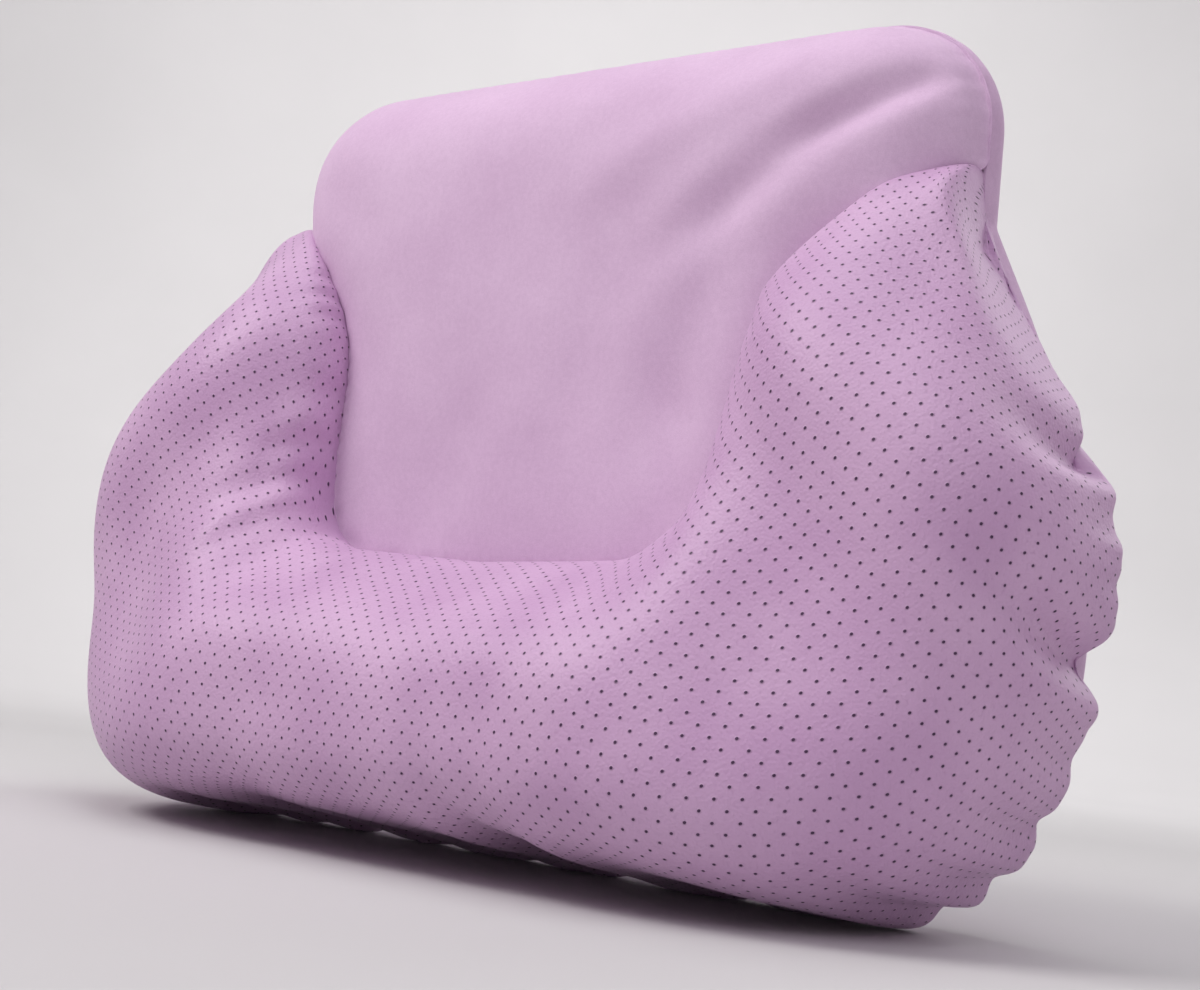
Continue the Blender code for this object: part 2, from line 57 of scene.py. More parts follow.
HIP_X = BAND_HIGH[0]  # half width between the outer seams at the hips
FOOT_SEAM = BAND_LOW[2]
HEIGHT = BAND_HIGH[2]
PAD_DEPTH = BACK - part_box("centre_panel")[0][1]
CREST_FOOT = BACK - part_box("bolster_panel")[0][1]
ZIP_Z = (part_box("zip_coil_upper")[0][2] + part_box("zip_coil_lower")[1][2]) / 2
SLOT_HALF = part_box("zip_tape_upper")[1][0]  # half length of the slot in the back
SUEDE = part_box("back_panel_upper")[1][1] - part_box("back_panel_upper")[0][1]

# Outer seam.
TOP_X = 0.167  # half width of the suede top
TOP_RADIUS = 0.045
SHOULDER = 0.257  # height at which the bolster starts
HIP = 0.105
FOOT_RADIUS = 0.076
TIP_WIDTH = 0.020

# U-shaped seam between suede and leather.
WAIST_X = 0.105
WAIST_Z = 0.199
CORNER_X = 0.0975
CORNER_Z = 0.112
CORNER_RADIUS = 0.030
SEAM_DEPTH = 0.037
SEAM_DEPTH_FOOT = 0.049

# Bolster.
CREST_SIDE = 0.101
CREST_SHOULDER = 0.042
BULGE = 0.014
SHOULDER_BULGE = 0.016  # further bulge towards the shoulders, over the boxing strip
FULL_WIDTH = 0.060
INNER_BULGE = 0.004  # how far the leather leans over the suede
TIP_START = 0.955  # where along the U the bolster starts to close
SPRING = 0.008
ARCH = 2 / 2.4
CREST_FALL = (0.25, 0.60)  # shares of the U over which the crest sinks from foot to sides
SHOULDER_FALL = (0.62, 1.0)  # and from the sides to the shoulders
BULGE_RISE = (0.55, 0.80)
EDGE_LIFT = 0.0008  # how far the U seam ends above the rim
SHOULDER_RUN = 0.030  # length over which it comes down to the rim
SLOT_Z = 0.0054  # half height of the slot in the back
GAP = 0.0003
MM = 0.001

ALONG = 300  # strips along the bolster
ACROSS = 72  # strips across it
SEAM_END = SHOULDER + TIP_WIDTH / 2
OUTER_END = SHOULDER - TIP_WIDTH / 2

# Folds of the leather: (place along the U where the fold meets its seam, and where
# it dies out, from -1 at the left shoulder to 1 at the right; share of the width across at both;
# depth and half width in mm).
FOLDS = [
    (0.633, 0.668, 1.00, 0.66, 9.0, 6.5), (0.652, 0.690, 1.00, 0.56, 2.5, 9.0),
    (0.838, 0.822, 1.00, 0.60, 9.0, 6.0),
    (0.778, 0.770, 1.00, 0.76, 2.4, 5.0), (0.720, 0.716, 1.00, 0.80, 1.4, 5.0),
    (0.868, 0.862, 1.00, 0.70, 2.6, 3.6), (0.893, 0.888, 1.00, 0.70, 2.2, 3.4),
    (0.915, 0.910, 1.00, 0.72, 2.0, 3.2), (0.938, 0.934, 1.00, 0.74, 1.8, 3.0),
    (0.962, 0.958, 1.00, 0.76, 1.4, 3.0),
    (0.572, 0.562, 1.00, 0.80, 1.4, 5.0), (0.515, 0.500, 1.00, 0.74, 3.6, 5.0),
    (0.455, 0.448, 1.00, 0.74, 3.4, 5.0), (0.410, 0.398, 1.00, 0.66, 4.4, 5.5),
    (0.340, 0.336, 1.00, 0.74, 1.8, 5.0), (0.240, 0.236, 1.00, 0.72, 2.2, 6.0),
    (0.128, 0.108, 1.00, 0.46, 7.0, 6.5),
    (0.020, 0.010, 1.00, 0.70, 1.8, 6.0),
    (-0.070, -0.105, 1.00, 0.62, 3.0, 6.0), (-0.155, -0.190, 1.00, 0.60, 4.2, 6.5),
    (-0.285, -0.305, 1.00, 0.64, 4.2, 6.5), (-0.230, -0.240, 1.00, 0.74, 2.2, 5.0),
    (-0.380, -0.390, 1.00, 0.74, 3.0, 5.0), (-0.470, -0.474, 1.00, 0.78, 2.2, 5.0),
    (-0.560, -0.566, 1.00, 0.80, 1.8, 4.5), (-0.640, -0.640, 1.00, 0.78, 2.0, 5.0),
    (-0.705, -0.700, 1.00, 0.80, 1.5, 4.2), (-0.770, -0.765, 1.00, 0.78, 1.4, 4.0),
    (-0.830, -0.826, 1.00, 0.80, 1.6, 3.8), (-0.885, -0.880, 1.00, 0.80, 1.3, 3.6),
    (-0.935, -0.930, 1.00, 0.80, 1.3, 3.2),
    (-0.405, -0.500, 0.00, 0.34, 3.6, 7.0), (-0.352, -0.290, 0.00, 0.34, 2.8, 7.5),
    (-0.475, -0.515, 0.00, 0.16, 2.2, 4.0), (-0.376, -0.376, 0.00, 0.36, 1.8, 5.0),
    (-0.440, -0.545, 0.00, 0.26, 1.8, 5.0), (-0.560, -0.590, 0.00, 0.12, 1.4, 4.0),
    (-0.700, -0.715, 0.00, 0.12, 1.4, 3.2), (-0.740, -0.760, 0.00, 0.14, 1.6, 3.2),
    (-0.785, -0.800, 0.00, 0.12, 1.2, 3.0),
    (0.400, 0.395, 0.00, 0.28, 1.6, 8.0), (0.440, 0.470, 0.00, 0.30, 1.2, 8.0),
    (0.655, 0.665, 0.00, 0.20, 1.4, 5.0), (0.615, 0.620, 0.00, 0.16, 1.0, 4.5),
    (0.093, 0.093, 0.52, 0.34, 1.6, 7.0), (0.148, 0.160, 0.52, 0.34, 2.2, 7.5),
    (-0.150, -0.140, 0.55, 0.30, 1.2, 12.0),
]
GATHERS = 62  # small gathers along the outer seam
GATHER_DEPTH = 0.0009
PRESSURE = 6.0
LEATHER_CLOTH = {"quality": 6, "mass": 0.25, "tension_stiffness": 40.0,
                 "compression_stiffness": 40.0, "shear_stiffness": 12.0, "bending_stiffness": 1.5,
                 "use_pressure": True, "uniform_pressure_force": PRESSURE, "air_damping": 4.0}
SIMULATED_FRAMES = 18
MOST_MOVED = 0.012
SMOOTHING = 45  # rounds in which the finest buckles are evened out
TURNED_IN = 0.0015  # the leather's seam allowance beside the suede
TURNED_OUT = 0.0018  # and beside the boxing strip
TURNED_BACK = 0.004  # how deep both allowances go
CASE_SINK = 0.0030  # depth of the inner case below the leather
FIBRE_SINK = 0.0050

# The suede front: its tuck below the leather and over the rim, ripple and gathers.
SEAM_TUCK = 0.0012
RIM_TUCK = -0.0002
FRONT_RIPPLE = 0.0006
FRONT_GATHERS = 92.0
FRONT_GATHER_DEPTH = 0.0007

# The boxing strip: how far it stands out, how deep its seams draw it in, and its gathers.
STRIP_BULGE = 0.0016
STRIP_DRAWN = 0.0006
STRIP_GATHERS = 74.0
STRIP_GATHER_DEPTH = 0.0005

# The suede back: how far it stands proud, how deep its seams draw it in, ripple and puckers.
BACK_PROUD = 0.0017
BACK_DRAWN = 0.0009
BACK_RIPPLE = 0.0005
BACK_PUCKERS = 58.0
PUCKER_DEPTH = 0.0007


def smooth(low, high, value):
    """Smooth step from 0 at low to 1 at high."""
    t = np.clip((value - low) / (high - low), 0.0, 1.0)
    return t * t * (3.0 - 2.0 * t)


def eased_between(a, b, c, d, t):
    """Point at t from b to c on the Catmull-Rom curve through a, b, c and d."""
    return 0.5 * (2 * b + (c - a) * t + (2 * a - 5 * b + 4 * c - d) * t ** 2
                  + (3 * b - a - 3 * c + d) * t ** 3)


def valley(q):
    """Section of a fold at q half widths from its middle: a valley with a low ridge on each side."""
    return (1.0 - 0.5 * q * q) * np.exp(-0.5 * q * q)


def circle(count):
    """Count angles evenly round a circle."""
    return np.linspace(0.0, 2.0 * math.pi, count, endpoint=False)


def arches(run, count, sway, swings):
    """Count arches from 0 to 1 along a run of 0 to 1, with a spacing that sways."""
    return np.abs(np.sin(math.pi * (count * run + sway * np.sin(2.0 * math.pi * swings * run))))


def through(points, steps=16):
    """Catmull-Rom curve through the points."""
    p = np.asarray(points, float)
    p = np.vstack([2 * p[0] - p[1], p, 2 * p[-1] - p[-2]])
    t = np.linspace(0.0, 1.0, steps, endpoint=False)[:, None]
    runs = [eased_between(a, b, c, d, t) for a, b, c, d in zip(p[:-3], p[1:-2], p[2:-1], p[3:])]
    return np.vstack(runs + [p[-2][None]])


def spaced(curve, count):
    """The same polyline with count points, evenly spaced along it."""
    run = np.r_[0.0, np.cumsum(np.linalg.norm(np.diff(curve, axis=0), axis=1))]
    at = np.linspace(0.0, run[-1], count)
    return np.stack([np.interp(at, run, value) for value in curve.T], axis=1)


def arc(centre_x, centre_z, radius_x, radius_z, start, end, steps=40, power=1.0):
    """Arc of a superellipse, angles in degrees from +x towards +z."""
    a = np.radians(np.linspace(start, end, steps))
    c, s = np.cos(a), np.sin(a)
    x = centre_x + radius_x * np.sign(c) * np.abs(c) ** power
    z = centre_z + radius_z * np.sign(s) * np.abs(s) ** power
    return np.stack([x, z], axis=1)


def moved_in(curve, distance):
    """The closed polyline moved to its left by distance."""
    along = np.roll(curve, -1, axis=0) - np.roll(curve, 1, axis=0)
    along /= np.linalg.norm(along, axis=1)[:, None]
    return curve + distance * np.stack([-along[:, 1], along[:, 0]], axis=1)


def eased(curve, rounds):
    """A polyline with its kinks rounded: each inner point moves to the mean of its neighbours."""
    for _ in range(rounds):
        curve[1:-1] = 0.5 * curve[1:-1] + 0.25 * (curve[2:] + curve[:-2])
    return curve


def mirrored(right_half):
    """Whole curve, left to right, from its right half, whose first point is central."""
    return np.vstack([(right_half * [-1.0, 1.0])[::-1], right_half[1:]])


def outer_half():
    """Outer seam of the bolster, from the middle of the foot to the right shoulder."""
    fall = OUTER_END - HIP
    side = through([(TOP_X, OUTER_END), (TOP_X + 0.49 * (HIP_X - TOP_X), OUTER_END - fall / 3),
                    (TOP_X + 0.88 * (HIP_X - TOP_X), OUTER_END - 2 * fall / 3), (HIP_X, HIP)])
    corner = arc(HIP_X - FOOT_RADIUS, HIP, FOOT_RADIUS, HIP - FOOT_SEAM, 0, -90, 60, 2 / 2.3)
    return np.vstack([[[0.0, FOOT_SEAM]], corner[::-1], side[::-1][1:]])


def inner_half():
    """U-shaped seam, from the middle of its foot to the right shoulder."""
    end_x = TOP_X - 0.0015
    side = through([(end_x, SEAM_END), (end_x - 0.021, SHOULDER - 0.002),
                    (WAIST_X + 0.014, WAIST_Z + 0.028), (WAIST_X, WAIST_Z),
                    (CORNER_X + 0.35 * (WAIST_X - CORNER_X), (WAIST_Z + CORNER_Z) / 2),
                    (CORNER_X + 0.001, CORNER_Z + CORNER_RADIUS + 0.006)])
    corner = arc(CORNER_X - CORNER_RADIUS, CORNER_Z + CORNER_RADIUS,
                 CORNER_RADIUS, CORNER_RADIUS, 0, -90)
    return np.vstack([[[0.0, CORNER_Z - 0.003]], corner[::-1], side[::-1]])


def top_half():
    """Top edge, from the right shoulder to the middle."""
    corner = arc(TOP_X - TOP_RADIUS, HEIGHT - TOP_RADIUS, TOP_RADIUS, TOP_RADIUS, 0, 90)
    return np.vstack([[[TOP_X, SEAM_END + 0.002]], corner, [[0.0, HEIGHT]]])


def inner_depth(points):
    """Depth of the U seam along its own curve, down to just above the rim at the shoulders."""
    seam = SEAM_DEPTH_FOOT + (SEAM_DEPTH - SEAM_DEPTH_FOOT) * smooth(CORNER_Z, SHOULDER, points[:, 1])
    near = smooth(TOP_X - SHOULDER_RUN, TOP_X, np.abs(points[:, 0]))
    blend = near * smooth(SHOULDER - SHOULDER_RUN, SHOULDER, points[:, 1])
    return seam * (1 - blend) + (RIM + EDGE_LIFT) * blend


def seam_curves():
    """The U seam and the outer seam of the bolster, each from the left shoulder to the right."""
    inner = eased(spaced(mirrored(inner_half()), ALONG + 1), 12)
    outer = eased(spaced(mirrored(outer_half()), ALONG + 1), 12)
    return inner, outer


def bolster_face():
    """Face of the bolster before it is gathered: along the U, then across it.

    Each cross-section is a superellipse arch from the inner seam to the outer one, widest a
    little outside and in front of the outer seam, and leaning over the inner one. Its crest is
    deepest at the foot, and closes in a quarter circle at the shoulders.
    """
    inner, outer = seam_curves()
    u = np.abs(np.linspace(-1.0, 1.0, ALONG + 1))
    crest = CREST_FOOT + (CREST_SIDE - CREST_FOOT) * smooth(*CREST_FALL, u)
    crest = (crest + (CREST_SHOULDER - crest) * smooth(*SHOULDER_FALL, u) ** 1.5)[:, None]
    bulge = (BULGE + SHOULDER_BULGE * smooth(*BULGE_RISE, u))[:, None]
    width = np.linalg.norm(outer - inner, axis=1)[:, None]
    across = (outer - inner) / width
    fullness = np.clip(width / FULL_WIDTH, 0.0, 1.0)
    half = (width + bulge * fullness) / 2
    turn = np.arccos(1.0 - bulge * fullness / half)
    t = np.linspace(0.0, 1.0, ACROSS + 1)[None]
    angle = (math.pi + turn) * t
    c, s = -np.cos(angle), np.sin(angle)
    place = half + half * np.sign(c) * np.abs(c) ** ARCH
    place[:, -1:] = width
    share = np.clip(place / width, 0.0, 1.0)
    low = inner_depth(inner)[:, None] * (1 - share) + (RIM + GAP) * share
    spring = low + SPRING * fullness * share
    rise = np.clip(s, 0.0, 1.0) ** ARCH
    fall = np.clip(-s, 0.0, 1.0) / np.maximum(np.sin(turn), 1e-6)
    depth = spring * (1 - rise) + crest * rise
    depth = np.where(s < 0.0, spring * (1 - fall) + low * fall, depth)
    depth[:, -1] = RIM + GAP
    closing = np.maximum(u - TIP_START, 0.0) / (1.0 - TIP_START)
    ending = np.sqrt(np.clip(1.0 - closing ** 2, 0.0, 1.0))[:, None]
    depth = low + (depth - low) * ending
    lean = np.clip(rise / 0.6, 0.0, 1.0)
    inside = (c < 0.0) * 4.0 * lean * (1.0 - lean) * fullness * ending
    place = place - INNER_BULGE * inside
    xz = inner[:, None] + across[:, None] * place[..., None]
    return np.stack([xz[..., 0], BACK - depth, xz[..., 1]], axis=-1)


def evened(grid, count):
    """The grid with count columns, evenly spaced along each of its rows."""
    return np.array([spaced(row, count) for row in grid])


def normals(grid):
    """Unit normals of a grid, towards the sitter for the bolster's face."""
    n = np.cross(np.gradient(grid, axis=0), np.gradient(grid, axis=1))
    n /= np.maximum(np.linalg.norm(n, axis=2), 1e-12)[..., None]
    middle = n[len(n) // 2, n.shape[1] // 2]
    return -n if middle[1] > 0 else n


def fold_field(face):
    """Depth of the folds and gathers at each point of the face, in metres.

    Each fold is a valley that widens from its seam to where it dies out. The gathers are sharp at
    the outer seam and fade across the leather.
    """
    s = np.linspace(-1.0, 1.0, face.shape[0])[:, None]
    t = np.linspace(0.0, 1.0, face.shape[1])[None]
    half_run = np.linalg.norm(np.diff(face, axis=0), axis=2).sum(axis=0)[None] / 2
    field = np.zeros(face.shape[:2])
    for s_seam, s_end, t_seam, t_end, depth, width in FOLDS:
        along = np.clip((t - t_seam) / (t_end - t_seam), 0.0, 1.4)
        centre = s_seam + (s_end - s_seam) * along
        q = (s - centre) * half_run / (width * MM * (1.0 + 0.8 * along))
        field += depth * MM * (1.0 - smooth(0.35, 1.15, along)) * valley(q)
    phase = GATHERS * math.pi * (s + 0.030 * np.sin(9.0 * s) + 0.014 * np.sin(23.0 * s + 1.0))
    size = 0.55 + 0.45 * np.sin(13.0 * s + 0.6) * np.sin(5.0 * s)
    sharp = 1.0 - np.abs(np.sin(phase / 2)) ** 0.7
    field += 2.0 * GATHER_DEPTH * size * sharp * smooth(0.70, 0.97, t)
    return field * smooth(0.0, 0.05, t) * (1.0 - smooth(0.985, 1.0, t))


def pressed(grid):
    """The grid with what lies below the ground pressed up onto it."""
    out = np.array(grid)
    out[..., 2] = np.maximum(out[..., 2], 0.0)
    return out


def make(name, points, faces, material):
    """Object from a grid or list of points and its faces, smooth but for its sharp edges."""
    mesh = bpy.data.meshes.new(name)
    mesh.from_pydata(np.reshape(points, (-1, 3)).tolist(), [], faces)
    mesh.validate()
    mesh.materials.append(material)
    mesh.shade_smooth()
    mesh.set_sharp_from_angle(angle=math.radians(60))
    thing = bpy.data.objects.new(name, mesh)
    bpy.context.scene.collection.objects.link(thing)
    return thing


def read(items, what, size, kind):
    """The numbers that a mesh's items hold, one row for each item."""
    values = np.empty(len(items) * size, kind)
    items.foreach_get(what, values)
    return values.reshape(-1, size)


def grid_faces(rows, columns, closed=False):
    """Quads of a grid as index rows, with the last column joined to the first if closed."""
    index = np.arange(rows * columns).reshape(rows, columns)
    if closed:
        index = np.hstack([index, index[:, :1]])
    quads = np.stack([index[:-1, :-1], index[1:, :-1], index[1:, 1:], index[:-1, 1:]], axis=-1)
    return quads.reshape(-1, 4)


def bolster_body(name, grid, material):
    """Body from a grid over the bolster, closed behind by a ruled strip between its two seams."""
    rows, columns = grid.shape[:2]
    quads = grid_faces(rows, columns).tolist()
    first = [r * columns for r in range(rows)]
    for a, b in zip(first[:-1], first[1:]):
        quads.append([b, a, a + columns - 1, b + columns - 1])
    quads.append(list(range(columns)))
    quads.append([first[-1] + c for c in range(columns - 1, -1, -1)])
    return make(name, grid, quads, material)


def gathered(face):
    """How far each point of the bolster's face moves as cloth under pressure, held along its
    seams, with the finest buckles evened out."""
    rows, columns = face.shape[:2]
    plain = bpy.data.materials.new("blank")
    sheet = bolster_body("bolster_cloth", face, plain)
    held = sheet.vertex_groups.new(name="held")
    index = np.arange(rows * columns).reshape(rows, columns)
    border = np.r_[index[0], index[-1], index[:, 0], index[:, 1], index[:, -1], index[:, -2]]
    held.add([int(k) for k in np.unique(border)], 1.0, "ADD")
    cloth = sheet.modifiers.new("cloth", "CLOTH")
    for name, value in LEATHER_CLOTH.items():
        setattr(cloth.settings, name, value)
    cloth.settings.vertex_group_mass = "held"
    cloth.settings.effector_weights.gravity = 0.0
    cloth.collision_settings.use_collision = False
    cloth.collision_settings.use_self_collision = False
    scene = bpy.context.scene
    scene.frame_start = 1
    scene.frame_end = SIMULATED_FRAMES
    for k in range(1, SIMULATED_FRAMES + 1):
        scene.frame_set(k)
    settled = sheet.evaluated_get(bpy.context.evaluated_depsgraph_get()).data
    points = read(settled.vertices, "co", 3, np.float32)
    scene.frame_set(1)
    bpy.data.objects.remove(sheet, do_unlink=True)
    move = points.reshape(face.shape).astype(float) - face
    far = np.linalg.norm(move, axis=2, keepdims=True)
    move *= np.minimum(1.0, MOST_MOVED / np.maximum(far, 1e-9))
    for _ in range(SMOOTHING):
        move[1:-1] = 0.5 * move[1:-1] + 0.25 * (move[2:] + move[:-2])
        move[:, 1:-1] = 0.5 * move[:, 1:-1] + 0.25 * (move[:, 2:] + move[:, :-2])
    return move


def flat_pattern(face, step=6):
    """The leather's cutting pattern, in metres, its rows level as seen from the front.

    At each point the front view's x and z are turned onto the surface by the least turn that
    takes the view's direction to the normal. The pattern's two coordinates grow along every edge
    of a coarse grid as these turned directions say, as nearly as least squares can.
    """
    coarse = face[::step, ::step]
    rows, columns = coarse.shape[:2]
    index = np.arange(rows * columns).reshape(rows, columns)
    one = np.r_[index[:-1].ravel(), index[:, :-1].ravel()]
    two = np.r_[index[1:].ravel(), index[:, 1:].ravel()]
    points = coarse.reshape(-1, 3)
    normal = normals(coarse).reshape(-1, 3)
    edge = points[two] - points[one]
    rules = np.zeros((len(one) + 1, len(points)))
    rules[np.arange(len(one)), one] = -1.0
    rules[np.arange(len(one)), two] = 1.0
    rules[-1, index[rows // 2, 0]] = 1.0
    flat = []
    for axis in (np.array([1.0, 0.0, 0.0]), np.array([0.0, 0.0, 1.0])):
        turned = axis - ((normal @ axis) / (1.0 - normal[:, 1]))[:, None] * (normal - [0.0, 1.0, 0.0])
        grown = np.einsum("ij,ij->i", edge, (turned[one] + turned[two]) / 2.0)
        flat.append(np.linalg.lstsq(rules, np.r_[grown, 0.0], rcond=None)[0])
    flat = np.stack(flat, axis=-1).reshape(rows, columns, 2)
    return finer(flat, face.shape[0], face.shape[1])


def finer(grid, rows, columns):
    """The grid resampled to rows and columns by Catmull-Rom interpolation both ways."""
    for axis, count in ((0, rows), (1, columns)):
        g = np.moveaxis(grid, axis, 0)
        at = np.linspace(0.0, len(g) - 1.0, count)
        k = np.clip(at.astype(int), 0, len(g) - 2)
        f = (at - k).reshape((-1,) + (1,) * (g.ndim - 1))
        padded = np.concatenate([2 * g[:1] - g[1:2], g, 2 * g[-1:] - g[-2:-1]])
        g = eased_between(padded[k], padded[k + 1], padded[k + 2], padded[k + 3], f)
        grid = np.moveaxis(g, 0, axis)
    return grid


def widest(field, reach):
    """The largest value within reach cells of each point of a field, none below zero."""
    out = np.maximum(field, 0.0)
    for axis in (0, 1):
        for _ in range(reach):
            out = np.maximum(out, np.maximum(np.roll(out, 1, axis), np.roll(out, -1, axis)))
    return out


def bolster(material, case, wadding):
    """The gathered leather bolster, and in it the inner case and its fibre, which follow the
    leather at a distance."""
    face = evened(bolster_face(), ACROSS + 1)
    pattern = flat_pattern(face)
    folds = fold_field(face)
    inward = normals(face)
    folded = face - inward * folds[..., None]
    move = gathered(pressed(folded))
    face = face + move
    folded = folded + move
    folded = pressed(folded)
    across = folded[:, -1] - folded[:, 0]
    across[:, 1] = 0.0
    across /= np.linalg.norm(across, axis=1)[:, None]
    turned_in = folded[:, 0] + TURNED_IN * across + [0.0, TURNED_BACK, 0.0]
    turned_out = folded[:, -1] - TURNED_OUT * across + [0.0, TURNED_BACK, 0.0]
    folded = np.concatenate([turned_in[:, None], folded, turned_out[:, None]], axis=1)
    pattern = np.concatenate([pattern[:, :1], pattern, pattern[:, -1:]], axis=1)
    thing = bolster_body("bolster_cover", folded, material)
    uv = thing.data.uv_layers.new(name="pattern")
    corners = read(thing.data.loops, "vertex_index", 1, np.int32)[:, 0]
    uv.data.foreach_set("uv", pattern.reshape(-1, 2)[corners].astype(np.float32).ravel())
    smoother = thing.modifiers.new("subdivision", "SUBSURF")
    smoother.levels = 1
    smoother.render_levels = 1
    layers = []
    deepest = widest(folds, 6)[..., None]
    for name, sink, cloth in (("inner_case_bolster", CASE_SINK, case),
                              ("fibre_fill", FIBRE_SINK, wadding)):
        inside = (face - inward * (sink + deepest))[9:-9:3, 4:-8:3]
        inside[..., 1] = np.minimum(inside[..., 1], BACK - RIM - 0.001 - sink / 2)
        inside[..., 2] = np.maximum(inside[..., 2], 0.004 + sink)
        layers.append(bolster_body(name, inside, cloth))
    return thing, *layers


def whole_ring(inset=0.0, count=640):
    """Closed outline of the whole cushion, anticlockwise from the middle of the foot."""
    half = np.vstack([outer_half(), top_half()])
    ring = np.vstack([half, (half * [-1.0, 1.0])[::-1][1:-1]])
    ring = spaced(np.vstack([ring, ring[:1]]), count + 1)[:-1]
    return moved_in(ring, inset)


def ripple(x, z, scale, seed):
    """Smooth wandering value within about 1, a sum of four sine waves turned different ways."""
    total = 0.0
    for k in range(4):
        turn = seed + 1.9 * k
        wave = (x * math.cos(turn) + z * math.sin(turn)) / scale * (1.0 + 0.37 * k)
        total = total + np.sin(2.0 * math.pi * wave + 2.3 * seed + k) / (1.0 + 0.6 * k)
    return total / 1.8


def creases(x, z, rows):
    """Sum of straight soft creases: each row holds the two ends of a crease in metres, its depth
    and its half width in mm. A crease fades out beyond its ends."""
    total = np.zeros_like(x)
    for x0, z0, x1, z1, depth, width in rows:
        length = math.hypot(x1 - x0, z1 - z0)
        along = ((x - x0) * (x1 - x0) + (z - z0) * (z1 - z0)) / length ** 2
        q = ((x - x0) * (z1 - z0) - (z - z0) * (x1 - x0)) / length / (width * MM)
        fade = smooth(-0.25, 0.25, along) * (1.0 - smooth(0.75, 1.25, along))
        total += depth * MM * fade * valley(q)
    return total


# Creases of the suede front: ends in metres, depth and half width in mm. Negative ones are ridges.
FRONT_CREASES = [
    (0.150, 0.300, 0.062, 0.236, 3.6, 9.0), (0.120, 0.312, 0.020, 0.262, -2.0, 12.0),
    (0.090, 0.262, 0.060, 0.160, 2.2, 12.0), (0.040, 0.240, 0.012, 0.140, 1.2, 14.0),
    (0.158, 0.300, 0.105, 0.272, 2.4, 6.0), (-0.130, 0.280, -0.090, 0.250, 0.9, 10.0),
    (-0.020, 0.180, -0.040, 0.120, 0.8, 12.0), (0.070, 0.180, 0.075, 0.130, 1.6, 8.0),
]


def sprung(ring, edge, cell=0.0025, reach=0.019, rounds=500):
    """Depth of the suede over the front as a function of x and z.

    It springs from its seam's depth to the pad's like a sheet on an elastic bed: its curvature is
    its distance from the pad's depth over the reach squared, solved on a square grid.
    """
    across = np.arange(-TOP_X - 0.010, TOP_X + 0.010, cell)
    up = np.arange(CORNER_Z - 0.012, HEIGHT + 0.010, cell)
    x, z = np.meshgrid(across, up, indexing="ij")
    away = np.full(x.shape, np.inf)
    beyond = np.zeros(x.shape)
    inside = np.zeros(x.shape, bool)
    for (ax, az), (bx, bz), depth in zip(ring, np.roll(ring, -1, axis=0), edge):
        gap = np.hypot(x - ax, z - az)
        beyond = np.where(gap < away, depth, beyond)
        away = np.minimum(away, gap)
        if az != bz:
            inside ^= ((az > z) != (bz > z)) & (x < (bx - ax) * (z - az) / (bz - az) + ax)
    pull = (cell / reach) ** 2
    depth = np.where(inside, PAD_DEPTH, beyond)
    for _ in range(rounds):
        around = sum(np.roll(depth, turn, axis) for turn in (1, -1) for axis in (0, 1))
        depth = np.where(inside, (around + pull * PAD_DEPTH) / (4.0 + pull), beyond)

    def at(px, pz):
        i = np.clip((px - across[0]) / cell, 0.0, len(across) - 1.001)
        k = np.clip((pz - up[0]) / cell, 0.0, len(up) - 1.001)
        a, b = i.astype(int), k.astype(int)
        i, k = i - a, k - b
        low_side = depth[a, b] * (1 - k) + depth[a, b + 1] * k
        high_side = depth[a + 1, b] * (1 - k) + depth[a + 1, b + 1] * k
        return low_side * (1 - i) + high_side * i

    return at


def front_face(columns=640, rows=80):
    """The suede front as rings from its seam to its middle, where they meet.

    Its depth is that of a sprung sheet, less the creases and a gentle ripple, which both fade out
    at the seam. Small gathers dip beside the seam.
    """
    seam = eased(spaced(mirrored(inner_half()), ALONG + 1), 12)
    top = spaced(mirrored(top_half()[::-1]), 240)[::-1]
    edge = np.r_[inner_depth(seam), np.full(len(top), RIM)]
    tucked = np.r_[np.full(len(seam), SEAM_TUCK), np.full(len(top), RIM_TUCK)]
    closed = np.column_stack([np.vstack([seam, top]), edge, tucked])
    ring = spaced(np.vstack([closed, closed[:1]]), columns + 1)[:-1]
    tucked = soft(ring[:, 3], 4)[:, None]
    edge = soft(ring[:, 2] + 0.003 * smooth(RIM, RIM + 0.012, ring[:, 2]), 10)
    ring = moved_in(ring[:, :2], -tucked)
    middle = (CORNER_Z + HEIGHT) / 2 + 0.010
    size = (1.0 - np.linspace(0.0, 1.0, rows + 1)[:-1] ** 1.5)[:, None]
    x = ring[None, :, 0] * size
    z = middle + (ring[None, :, 1] - middle) * size
    inside = 1.0 - smooth(0.90, 1.0, size)
    at_edge = smooth(0.965, 1.0, size)
    depth = sprung(ring, edge)(x, z) * (1.0 - at_edge) + edge[None] * at_edge
    worn = FRONT_RIPPLE * ripple(x, z, 0.11, 0.7) - creases(x, z, FRONT_CREASES)
    run = np.linspace(0.0, 1.0, columns, endpoint=False)[None]
    near = smooth(0.93, 0.985, size) * (1.0 - smooth(0.985, 1.0, size))
    gather = 1.0 - arches(run, FRONT_GATHERS, 1.3, 7.0)
    depth = depth + inside * worn - FRONT_GATHER_DEPTH * near * gather
    points = np.stack([x, BACK - depth, z], axis=-1)
    return points, np.array([0.0, BACK - depth[-1].mean(), middle])


def soft(values, rounds):
    """Values round a ring, each averaged with its neighbours again and again."""
    for _ in range(rounds):
        values = 0.5 * values + 0.25 * (np.roll(values, 1) + np.roll(values, -1))
    return values


